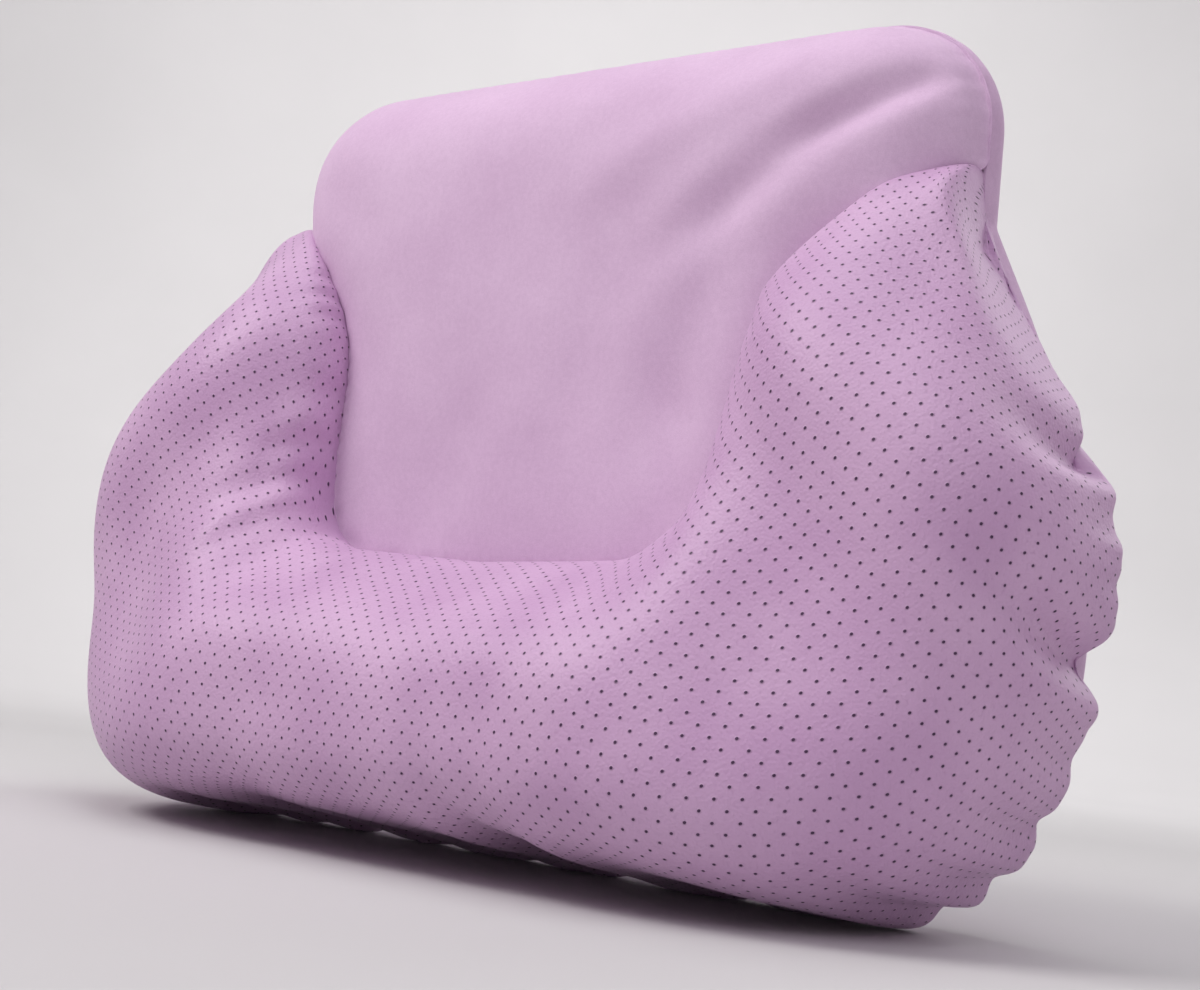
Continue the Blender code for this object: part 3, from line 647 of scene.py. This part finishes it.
def closed_pad(name, points, tip, back_tip, material):
    """Closed body from rings round a tip, with a fan behind them from their outermost ring."""
    rows, columns = points.shape[:2]
    quads = grid_faces(rows, columns, True).tolist()
    last = (rows - 1) * columns
    count = rows * columns
    for c in range(columns):
        d = (c + 1) % columns
        quads.append([last + d, last + c, count])
        quads.append([c, d, count + 1])
    everything = np.vstack([points.reshape(-1, 3), [tip], [back_tip]])
    return outward(make(name, everything, quads, material))


def outward(thing):
    """Turns a closed mesh's faces outwards, by the sign of its volume."""
    mesh = thing.data
    mesh.calc_loop_triangles()
    corners = read(mesh.loop_triangles, "vertices", 3, np.int32)
    tri = read(mesh.vertices, "co", 3, np.float32)[corners].astype(float)
    volume = np.einsum("ij,ij->i", tri[:, 0], np.cross(tri[:, 1], tri[:, 2])).sum()
    if volume < 0:
        mesh.flip_normals()
    return thing


def front(material, case, foam):
    """The suede front, and under it the front of the inner case and the foam pad."""
    points, crown = front_face()
    layers = []
    for name, rows, sink, cloth in (("suede_front", 0, 0.0, material),
                                    ("inner_case_front", 9, 0.0024, case),
                                    ("foam_pad", 11, 0.0040, foam)):
        inside = points[rows:] + [0.0, sink, 0.0]
        behind = [0.0, BACK - RIM - 0.004 - sink, crown[2]]
        layers.append(closed_pad(name, inside, crown + [0.0, sink, 0.0], behind, cloth))
    return layers


def band(material):
    """The boxing strip: a sewn band round the rim, barrelled between its two seams.

    Across the strip it stands out by a half sine, less at the bolster's gathers, and is drawn
    in at both seams.
    """
    ring = whole_ring()
    columns = len(ring)
    across = np.linspace(0.0, 1.0, 15)[:, None]
    run = np.linspace(0.0, 1.0, columns, endpoint=False)[None]
    pinch = 1.0 - arches(run, STRIP_GATHERS, 1.1, 5.0)
    out = STRIP_BULGE * np.sin(math.pi * across) ** 0.8 - STRIP_DRAWN
    out = out - STRIP_GATHER_DEPTH * pinch * smooth(0.25, 1.0, across)
    away = moved_in(ring, -1.0) - ring
    outside = ring[None] + away[None] * out[..., None]
    depth = (RIM + 0.0002) * across + 0.0 * run
    skin = np.stack([outside[..., 0], BACK - depth, outside[..., 1]], axis=-1)
    skin[..., 2] = np.maximum(skin[..., 2], 0.0004)
    lining = skin[::-1].copy()
    lining[..., [0, 2]] = ring[None] - away[None] * (SUEDE + 0.0004)
    loops = np.concatenate([skin, lining, skin[:1]])
    rows = len(loops) - 1
    quads = grid_faces(rows + 1, columns, True) % (rows * columns)
    return outward(make("boxing_strip", loops[:-1], quads.tolist(), material))


def back_half(name, side, material, rows=70, columns=180):
    """Half of the suede back, above (1) or below (-1) the zip: flat where it rests, drawn in at
    its seams, with a straight edge along the slot that closes up beyond the zip's ends.

    Its rows are level and as wide as the outline there. It stands proud by a smooth step of the
    distance from its edges, with a low ripple and short puckers beside the outer seam.
    """
    inset = 0.0004
    ring = whole_ring(inset, 1200)
    half = ring[(ring[:, 0] > 0.0) & (np.abs(ring[:, 1] - HEIGHT + inset) > 1e-5)]
    half = half[half[:, 1] > FOOT_SEAM + 1.05 * inset]
    half = half[np.argsort(half[:, 1])]
    far = half[-1, 1] if side > 0 else half[0, 1]
    share = np.linspace(-1.0, 1.0, columns + 1)
    zip_width = float(np.interp(ZIP_Z, half[:, 1], half[:, 0]))
    slot = SLOT_HALF / zip_width
    share = np.sort(np.r_[share, slot, slot + 0.001, -slot, -slot - 0.001])
    edge = ZIP_Z + side * np.where(np.abs(share) <= slot + 1e-6, SLOT_Z, GAP / 2)
    up = (0.5 - 0.5 * np.cos(math.pi * np.linspace(0.0, 1.0, rows + 1)))[:, None]
    z = edge[None] + (far - edge[None]) * up
    x = share[None] * np.interp(z, half[:, 1], half[:, 0])
    flat = np.stack([x, z], axis=-1).reshape(-1, 2)
    away = np.empty(len(flat))
    nearest = np.empty(len(flat))
    for start in range(0, len(flat), 2000):
        gaps = np.linalg.norm(flat[start:start + 2000, None] - ring[None], axis=2)
        away[start:start + 2000] = gaps.min(axis=1)
        nearest[start:start + 2000] = gaps.argmin(axis=1) / len(ring)
    away, run = away.reshape(x.shape), nearest.reshape(x.shape)
    free = np.minimum(away, 1.5 * np.abs(z - edge[None]))
    near = smooth(0.001, 0.005, away) * (1.0 - smooth(0.007, 0.024, away))
    out = BACK_PROUD * smooth(-0.004, 0.040, free) ** 0.7 - BACK_DRAWN
    out = out + BACK_RIPPLE * smooth(0.01, 0.06, free) * ripple(x, z, 0.09, 2.1 + side)
    out = out - PUCKER_DEPTH * near * (1.0 - arches(run, BACK_PUCKERS, 0.9, 6.0))
    skin = np.stack([x, BACK + out, z], axis=-1)
    lining = np.stack([x, np.full_like(x, BACK - SUEDE + 0.0002), z], axis=-1)
    count = x.size
    quads = grid_faces(*x.shape)
    index = np.arange(count).reshape(x.shape)
    rim = np.r_[index[0], index[1:, -1], index[-1, -2::-1], index[-2:0:-1, 0]]
    sides = np.stack([rim, rim + count, np.roll(rim, -1) + count, np.roll(rim, -1)], axis=1)
    faces = np.concatenate([quads, quads[:, ::-1] + count, sides])
    return outward(make(name, [skin, lining], faces.tolist(), material))


def helix(name, side, material):
    """One row of the zip: nylon wire wound round the edge of its tape.

    The wire's middle line is an oval helix along x, and its section a small circle in the plane
    of the line's normal and binormal.
    """
    low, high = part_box("zip_coil_upper" if side > 0 else "zip_coil_lower")
    wire = 0.00036
    pitch = 0.0015
    per_turn = 14
    radius_z = (high[2] - low[2]) / 2 - wire
    radius_y = (high[1] - low[1]) / 2 - wire
    centre_y, centre_z = (low[1] + high[1]) / 2, (low[2] + high[2]) / 2
    turns = (high[0] - low[0] - 2 * wire) / pitch
    t = np.linspace(0.0, 1.0, int(turns * per_turn))
    turn = 2.0 * math.pi * turns * t + (0.0 if side > 0 else math.pi)
    line = np.stack([low[0] + wire + (high[0] - low[0] - 2 * wire) * t,
                     centre_y + radius_y * np.sin(turn),
                     centre_z + side * radius_z * np.cos(turn)], axis=1)
    return tube(name, line, wire, 6, material)


def tube(name, line, radius, sides, material):
    """Round tube along a line of points, closed at its ends by flat caps."""
    along = np.gradient(line, axis=0)
    along /= np.linalg.norm(along, axis=1)[:, None]
    first = np.cross(along, [1.0, 0.0, 0.0])
    thin = np.linalg.norm(first, axis=1) < 1e-6
    first[thin] = np.cross(along[thin], [0.0, 0.0, 1.0])
    first /= np.linalg.norm(first, axis=1)[:, None]
    second = np.cross(along, first)
    a = circle(sides)
    points = (line[:, None] + radius * (np.cos(a)[None, :, None] * first[:, None]
                                        + np.sin(a)[None, :, None] * second[:, None]))
    quads = grid_faces(len(line), sides, True).tolist()
    quads.append(list(range(sides)))
    quads.append(list(range((len(line) - 1) * sides, len(line) * sides))[::-1])
    return outward(make(name, points, quads, material))


def topstitch(material):
    """Lockstitch along both edges of the slot: each stitch is a short thread, thick in its middle
    and sunk at its ends."""
    length, pitch, thick = 0.0026, 0.0034, 0.00032
    from_edge, sunk, proud = 0.0022, 0.00030, 0.00055
    rings, sides = 7, 6
    places = np.arange(-SLOT_HALF, SLOT_HALF, pitch) + pitch / 2
    t = np.linspace(0.0, 1.0, rings)
    a = circle(sides)
    swell = np.sin(math.pi * t)
    fat = thick * (0.35 + 0.65 * swell ** 0.5)
    line_y = BACK + proud * swell - sunk * (1.0 - swell)
    points, quads, start = [], [], 0
    for side in (1, -1):
        z = ZIP_Z + side * (SLOT_Z + from_edge)
        for x in places:
            one = np.stack([np.repeat(x - length / 2 + length * t, sides),
                            np.repeat(line_y, sides) + np.outer(fat, np.cos(a)).ravel(),
                            z + np.outer(fat, np.sin(a)).ravel()], axis=1)
            points.append(one)
            quads += (grid_faces(rings, sides, True) + start).tolist()
            quads.append([start + k for k in range(sides)])
            start += rings * sides
            quads.append([start - 1 - k for k in range(sides)])
    return outward(make("zip_topstitch", np.vstack(points), quads, material))


def softened(node, name, width, material):
    """A merged copy of a CAD node with its edges rounded, which stands for it."""
    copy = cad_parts[node].copy()
    copy.data = copy.data.copy()
    copy.parent = None
    copy.name = name
    copy.data.name = name
    bpy.context.scene.collection.objects.link(copy)
    for key in list(copy.keys()):
        del copy[key]
    mesh = bmesh.new()
    mesh.from_mesh(copy.data)
    bmesh.ops.remove_doubles(mesh, verts=mesh.verts, dist=1e-6)
    bmesh.ops.dissolve_limit(mesh, angle_limit=math.radians(1.0), verts=mesh.verts, edges=mesh.edges)
    mesh.to_mesh(copy.data)
    mesh.free()
    copy.data.materials.clear()
    copy.data.materials.append(material)
    bevel = copy.modifiers.new("bevel", "BEVEL")
    bevel.width = width
    bevel.segments = 3
    bevel.limit_method = "ANGLE"
    bevel.angle_limit = math.radians(35)
    copy.data.shade_smooth()
    return copy


def colour(code):
    """Linear RGBA of an sRGB hex code."""
    values = [int(code[k:k + 2], 16) / 255.0 for k in (1, 3, 5)]
    return (*[v / 12.92 if v <= 0.04045 else ((v + 0.055) / 1.055) ** 2.4 for v in values], 1.0)


def feed(tree, node, inputs):
    """Gives a node's sockets their links or values."""
    for slot, value in inputs.items():
        if isinstance(value, bpy.types.NodeSocket):
            tree.links.new(value, node.inputs[slot])
        else:
            node.inputs[slot].default_value = value


def add(tree, kind, inputs, **settings):
    """Adds a shader node: settings are its attributes, inputs its sockets' links or values."""
    node = tree.nodes.new("ShaderNode" + kind)
    for name, value in settings.items():
        setattr(node, name, value)
    feed(tree, node, inputs)
    return node


def blank(name):
    """New node material: its tree, its shader and its Object coordinates."""
    material = bpy.data.materials.new(name)
    material.use_nodes = True
    tree = material.node_tree
    shader = tree.nodes["Principled BSDF"]
    place = add(tree, "TexCoord", {}).outputs["Object"]
    return material, tree, shader, place


def mixed(tree, share, low, high):
    """Colour between two by a share."""
    return add(tree, "Mix", {0: share, 6: low, 7: high}, data_type="RGBA").outputs[2]


def between(tree, share, low, high):
    """Colour between two hex codes by a share."""
    return mixed(tree, share, colour(low), colour(high))


def noise(tree, place, scale, detail, roughness=0.5):
    """Value of a noise whose patches come scale times a metre."""
    return add(tree, "TexNoise", {"Vector": place, "Scale": scale, "Detail": detail,
                                            "Roughness": roughness}).outputs[0]


def times(tree, value, factor, base=0.0):
    """The value times a factor, plus a base."""
    return add(tree, "Math", {0: value, 1: factor, 2: base},
               operation="MULTIPLY_ADD").outputs[0]


def raised(tree, height, strength, distance, **more):
    """Normal of a surface that a height of 1 raises by a distance in metres."""
    return add(tree, "Bump", {"Strength": strength, "Distance": distance,
                                        "Height": height, **more}).outputs[0]


def ramped(tree, value, low, high, to_low=0.0, to_high=1.0):
    """The value mapped from one range to another by a smooth step."""
    node = add(tree, "MapRange", {0: value, 1: low, 2: high, 3: to_low, 4: to_high},
               interpolation_type="SMOOTHSTEP")
    return node.outputs[0]


# Perforation of the leather, in metres: rows of holes, each row shifted by half a pitch.
HOLE_PITCH = 0.0071
ROW_PITCH = 0.0034
HOLE_RADIUS = 0.00048


def perforated_leather():
    """Perforated, pebble-embossed PU leather: satin, soft highlights, with punched 1 mm holes
    whose insides are painted dark as painted shade, their rims pressed in a little by the punch."""
    material, tree, shader, place = blank("perforated_leather")
    uv = add(tree, "UVMap", {}, uv_map="pattern").outputs[0]
    centres = []
    for shift in (0.0, 0.5):
        moved = add(tree, "VectorMath",
                    {0: uv, 1: (shift * HOLE_PITCH, shift * 2 * ROW_PITCH, 0.0)}, operation="ADD")
        cell = add(tree, "VectorMath",
                   {0: moved.outputs[0], 1: (HOLE_PITCH / 2, ROW_PITCH, 1.0),
                    2: (-HOLE_PITCH / 2, -ROW_PITCH, -1.0)}, operation="WRAP")
        far = add(tree, "VectorMath", {0: cell.outputs[0]}, operation="LENGTH")
        centres.append(far.outputs["Value"])
    nearest = add(tree, "Math", {0: centres[0], 1: centres[1]}, operation="MINIMUM").outputs[0]
    # Mask of the holes, which are painted a dark purple as painted shade inside them.
    hole_shade = ramped(tree, nearest, HOLE_RADIUS * 1.10, HOLE_RADIUS * 0.85)
    dimple = ramped(tree, nearest, HOLE_RADIUS * 1.7, HOLE_RADIUS * 0.8)
    # Pebbles about 1.1 mm across, with finer creasing in them.
    warp = add(tree, "TexNoise", {"Vector": place, "Scale": 420.0, "Detail": 2.0})
    bent = add(tree, "Mix", {0: 0.00035, 4: place, 5: warp.outputs["Color"]},
               data_type="VECTOR")
    pebbles = add(tree, "TexVoronoi",
                  {"Vector": bent.outputs[1], "Scale": 900.0, "Randomness": 1.0},
                  feature="SMOOTH_F1").outputs["Distance"]
    height = times(tree, noise(tree, place, 2600.0, 3.0), 0.22, times(tree, pebbles, -1.0))
    grain = raised(tree, height, 0.55, 0.00032)
    patches = noise(tree, place, 22.0, 3.0)
    skin = between(tree, ramped(tree, patches, 0.30, 0.70), "#C89FC8", "#D3ADD2")
    # Painted shade: the low valleys between the pebbles are painted darker.
    skin = mixed(tree, ramped(tree, pebbles, 0.50, 1.30), skin, colour("#B88CB8"))
    # Painted shade: the holes get the dark colour #46284C in place of the shadow inside them.
    feed(tree, shader, {"Base Color": mixed(tree, hole_shade, skin, colour("#46284C")),
                        "Roughness": ramped(tree, patches, 0.2, 0.8, 0.46, 0.56),
                        "Normal": raised(tree, times(tree, dimple, -1.0), 0.8, 0.0004, Normal=grain),
                        "IOR": 1.48, "Specular IOR Level": 0.55, "Sheen Weight": 0.06,
                        "Sheen Roughness": 0.4})
    return material


def napped_suede(name, light, dark):
    """Microfibre suede, knitted and brushed: no gloss, a bright haze at glancing angles, and soft
    patches where the nap lies another way."""
    material, tree, shader, place = blank(name)
    patches = noise(tree, place, 16.0, 4.0, 0.6)
    # Nap fibres are about 0.1 mm thick; drawn at 0.5 mm, the finest that shows.
    fibres = noise(tree, place, 2100.0, 4.0, 0.75)
    tufts = noise(tree, place, 520.0, 3.0)
    tone = times(tree, tufts, 0.15, times(tree, fibres, 0.30, times(tree, patches, 0.30, 0.125)))
    height = times(tree, tufts, 0.6, fibres)
    feed(tree, shader, {"Base Color": between(tree, ramped(tree, tone, 0.36, 0.64), dark, light),
                        "Normal": raised(tree, height, 0.30, 0.00030),
                        "Roughness": 0.92, "Specular IOR Level": 0.20, "Sheen Weight": 0.32,
                        "Sheen Roughness": 0.35, "Sheen Tint": colour("#F0DDF0")})
    return material


def woven(name, light, dark, spacing):
    """Woven cloth of a thread spacing in metres: two crossing wave patterns over each other."""
    material, tree, shader, place = blank(name)
    turned = add(tree, "Mapping", {"Vector": place, "Scale": (1.0 / spacing,) * 3})
    warp, weft = [add(tree, "TexWave", {"Vector": turned.outputs[0], "Scale": 0.5,
                                                  "Distortion": 0.6}, bands_direction=axis)
                  for axis in "XZ"]
    both = add(tree, "Math", {0: warp.outputs["Fac"], 1: weft.outputs["Fac"]},
               operation="MULTIPLY").outputs[0]
    feed(tree, shader, {"Base Color": between(tree, both, dark, light),
                        "Normal": raised(tree, both, 0.5, spacing * 0.4),
                        "Roughness": 0.85, "Specular IOR Level": 0.3})
    return material


def cellular(name, light, dark, cell):
    """Open-celled foam or fibre wadding of a cell size in metres."""
    material, tree, shader, place = blank(name)
    cells = add(tree, "TexVoronoi", {"Vector": place, "Scale": 1.0 / cell})
    tone = ramped(tree, cells.outputs["Distance"], 0.1, 0.8)
    bump = add(tree, "Bump", {"Strength": 0.6, "Distance": cell * 0.4, "Height": tone},
               invert=True)
    feed(tree, shader, {"Base Color": between(tree, tone, light, dark), "Normal": bump.outputs[0],
                        "Roughness": 0.95})
    return material


def moulded_nylon():
    """Dyed nylon monofilament: smooth, slightly waxy, with a faint change of tone along it."""
    material, tree, shader, place = blank("dyed_nylon")
    tone = noise(tree, place, 140.0, 2.0)
    feed(tree, shader, {"Base Color": between(tree, tone, "#A683A8", "#B894B9"), "Roughness": 0.38,
                        "IOR": 1.53, "Subsurface Weight": 0.08, "Subsurface Scale": 0.001})
    return material


def plated_zinc():
    """Die-cast zinc with a brushed nickel plate: bright metal, softly scratched along its faces,
    rougher where hands rub it."""
    material, tree, shader, place = blank("plated_zinc")
    stretched = add(tree, "Mapping", {"Vector": place, "Scale": (6000.0, 6000.0, 500.0)})
    lines = noise(tree, stretched.outputs[0], 1.0, 3.0)
    rubbed = noise(tree, place, 260.0, 3.0)
    feed(tree, shader, {"Base Color": between(tree, rubbed, "#A7A5A8", "#C9C7C9"),
                        "Roughness": ramped(tree, lines, 0.3, 0.7, 0.22, 0.40),
                        "Normal": raised(tree, lines, 0.2, 0.00005), "Metallic": 1.0})
    return material


def thread():
    """Polyester sewing thread: two twisted plies, a soft shine along it."""
    material, tree, shader, place = blank("polyester_thread")
    slanted = add(tree, "Mapping", {"Vector": place, "Rotation": (0.0, 0.6, 0.0)})
    plies = add(tree, "TexWave", {"Vector": slanted.outputs[0], "Scale": 700.0},
                bands_direction="X").outputs["Fac"]
    feed(tree, shader, {"Base Color": between(tree, plies, "#A57CA6", "#CFA6CE"),
                        "Normal": raised(tree, plies, 0.4, 0.0001), "Roughness": 0.5})
    return material


def plain_floor():
    """Matt off-white paper sweep."""
    material, tree, shader, place = blank("paper_sweep")
    tone = noise(tree, place, 3.0, 2.0)
    feed(tree, shader, {"Base Color": between(tree, tone, "#CCCACB", "#D3D1D2"), "Roughness": 0.9,
                        "Specular IOR Level": 0.2})
    return material


def sweep():
    """Floor that is level round the cushion and curves up into a wall all round, far behind."""
    rings, sides = 40, 96
    flat, bend, wall = 1.6, 1.4, 4.0
    below = 0.0002
    across = np.linspace(0.0, 1.0, rings)[:, None]
    turn = circle(sides)[None]
    run = across * (flat + bend * math.pi / 2 + wall)
    angle = np.clip((run - flat) / bend, 0.0, math.pi / 2)
    radius = np.minimum(run, flat) + bend * np.sin(angle)
    rise = bend * (1.0 - np.cos(angle)) + np.maximum(run - flat - bend * math.pi / 2, 0.0)
    points = np.stack([radius * np.cos(turn), radius * np.sin(turn), rise + 0.0 * turn], axis=-1)
    points[..., 2] -= below
    quads = grid_faces(rings, sides, True)[:, ::-1].tolist()
    make("floor", points, quads, plain_floor())


# Camera: direction from the aim to the camera, turned about the view, and the lens.
YAW = math.radians(36.0)
PITCH = math.radians(-6.5)
ROLL = math.radians(6.0)
DISTANCE = 0.6344
AIM = np.array([0.0395, BACK - 0.050, 0.1407])
LENS = 51.03
SENSOR = 36.0


def camera():
    """Low camera, to the right of the cushion and rolled a little."""
    back = np.array([math.sin(YAW) * math.cos(PITCH), -math.cos(YAW) * math.cos(PITCH),
                     math.sin(PITCH)])
    right = np.cross(-back, [0.0, 0.0, 1.0])
    right /= np.linalg.norm(right)
    up = np.cross(right, -back)
    rolled_right = right * math.cos(ROLL) + up * math.sin(ROLL)
    rolled_up = up * math.cos(ROLL) - right * math.sin(ROLL)
    data = bpy.data.cameras.new("camera")
    data.lens = LENS
    data.sensor_width = SENSOR
    data.clip_start = 0.01
    thing = bpy.data.objects.new("camera", data)
    place = np.eye(4)
    place[:3] = np.column_stack([rolled_right, rolled_up, back, AIM + back * DISTANCE])
    thing.matrix_world = Matrix(place.tolist())
    bpy.context.scene.collection.objects.link(thing)
    bpy.context.scene.camera = thing


def lamp(name, place, aim, width, power, tint):
    """Square soft light that faces a point."""
    data = bpy.data.lights.new(name, "AREA")
    data.shape = "SQUARE"
    data.size = width
    data.energy = power
    data.color = colour(tint)[:3]
    thing = bpy.data.objects.new(name, data)
    thing.visible_camera = False
    thing.location = place
    thing.rotation_euler = (Vector(aim) - Vector(place)).to_track_quat("-Z", "Y").to_euler()
    bpy.context.scene.collection.objects.link(thing)


def lights():
    """Large soft key from the upper left front, weak fills and an even sky."""
    lamp("key", (-1.1, -1.2, 1.9), (0.0, 0.0, 0.15), 1.0, 28.0, "#FFFDFA")
    lamp("fill", (1.1, -1.1, 1.7), (0.0, 0.0, 0.15), 1.2, 10.0, "#FBF9FF")
    lamp("top", (0.0, 0.0, 1.8), (0.0, 0.0, 0.2), 1.2, 10.0, "#FFFFFF")
    lamp("back", (0.6, 1.7, 1.2), (0.0, 0.0, 0.15), 1.2, 8.0, "#FFFFFF")
    lamp("wall", (-0.8, 1.1, 1.6), (-1.8, 2.6, 0.7), 1.4, 26.0, "#FFFFFF")
    world = bpy.data.worlds.new("studio")
    world.use_nodes = True
    sky = world.node_tree.nodes["Background"]
    sky.inputs[0].default_value = colour("#F2F0F4")
    sky.inputs[1].default_value = 0.24
    bpy.context.scene.world = world
    bpy.context.scene.view_settings.view_transform = "Standard"


def placed(thing, body, slot, *nodes):
    """Rides a piece on its body and hides the nodes that it stands for; its slot is not used."""
    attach(thing, body)
    if nodes:
        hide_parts(*nodes)
    return thing


camera()
lights()
sweep()

leather = perforated_leather()
suede = napped_suede("napped_suede", "#E6C8E5", "#D4B3D3")
suede_back = napped_suede("napped_suede_back", "#E0C0DF", "#CEACCD")
nylon = moulded_nylon()
zinc = plated_zinc()

tape = woven("woven_tape", "#B690B8", "#8F6C92", 0.0007)
case = woven("cotton_case", "#E9E6EA", "#CFCBD2", 0.0006)
foam = cellular("open_cell_foam", "#EDE6CE", "#CFC6A4", 0.0012)
wadding = cellular("polyester_wadding", "#F4F2F3", "#DAD7DA", 0.0022)

cover, cover_case, fill = bolster(leather, case, wadding)
panel, panel_case, pad = front(suede, case, foam)
for thing, slot, node, fullness in ((cover, "leather", "bolster_panel", 0.9),
                                    (panel, "suede", "centre_panel", 0.7),
                                    (fill, "fibre", "bolster_fill", 0.9),
                                    (pad, "foam", "lumbar_pad", 0.7)):
    placed(thing, "cushion", slot, node)
placed(cover_case, "cushion", "case_cloth", "case_bolster")
placed(panel_case, "cushion", "case_cloth", "case_centre")
placed(band(suede_back), "cushion", "suede", "edge_band")
for word, side in (("upper", 1), ("lower", -1)):
    half = placed(back_half("suede_back_" + word, side, suede_back), "cushion", "suede",
                  "back_panel_" + word)
    placed(helix("zip_row_" + word, side, nylon), "cushion", "zip_nylon", "zip_coil_" + word)
    placed(softened("zip_stop_" + word, "zip_end_stop_" + word, 0.0002, zinc), "cushion",
           "zip_metal", "zip_stop_" + word)
placed(topstitch(thread()), "cushion", "suede")
for node, name, rounding, body in (("zip_end_box", "zip_retaining_box", 0.0003, "cushion"),
                                   ("zip_slider", "zip_slider_body", 0.0004, "slider"),
                                   ("zip_crown", "zip_slider_crown", 0.0003, "slider"),
                                   ("zip_pull", "zip_pull_tab", 0.0002, "pull")):
    placed(softened(node, name, rounding, zinc), body, "zip_metal", node)

INSIDE = {"zip_tape_upper": tape, "zip_tape_lower": tape, "case_back": case,
          "baffle_wall": case, "base_foam": foam}
for node, material in INSIDE.items():
    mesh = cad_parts[node].data
    mesh.materials.clear()
    mesh.materials.append(material)
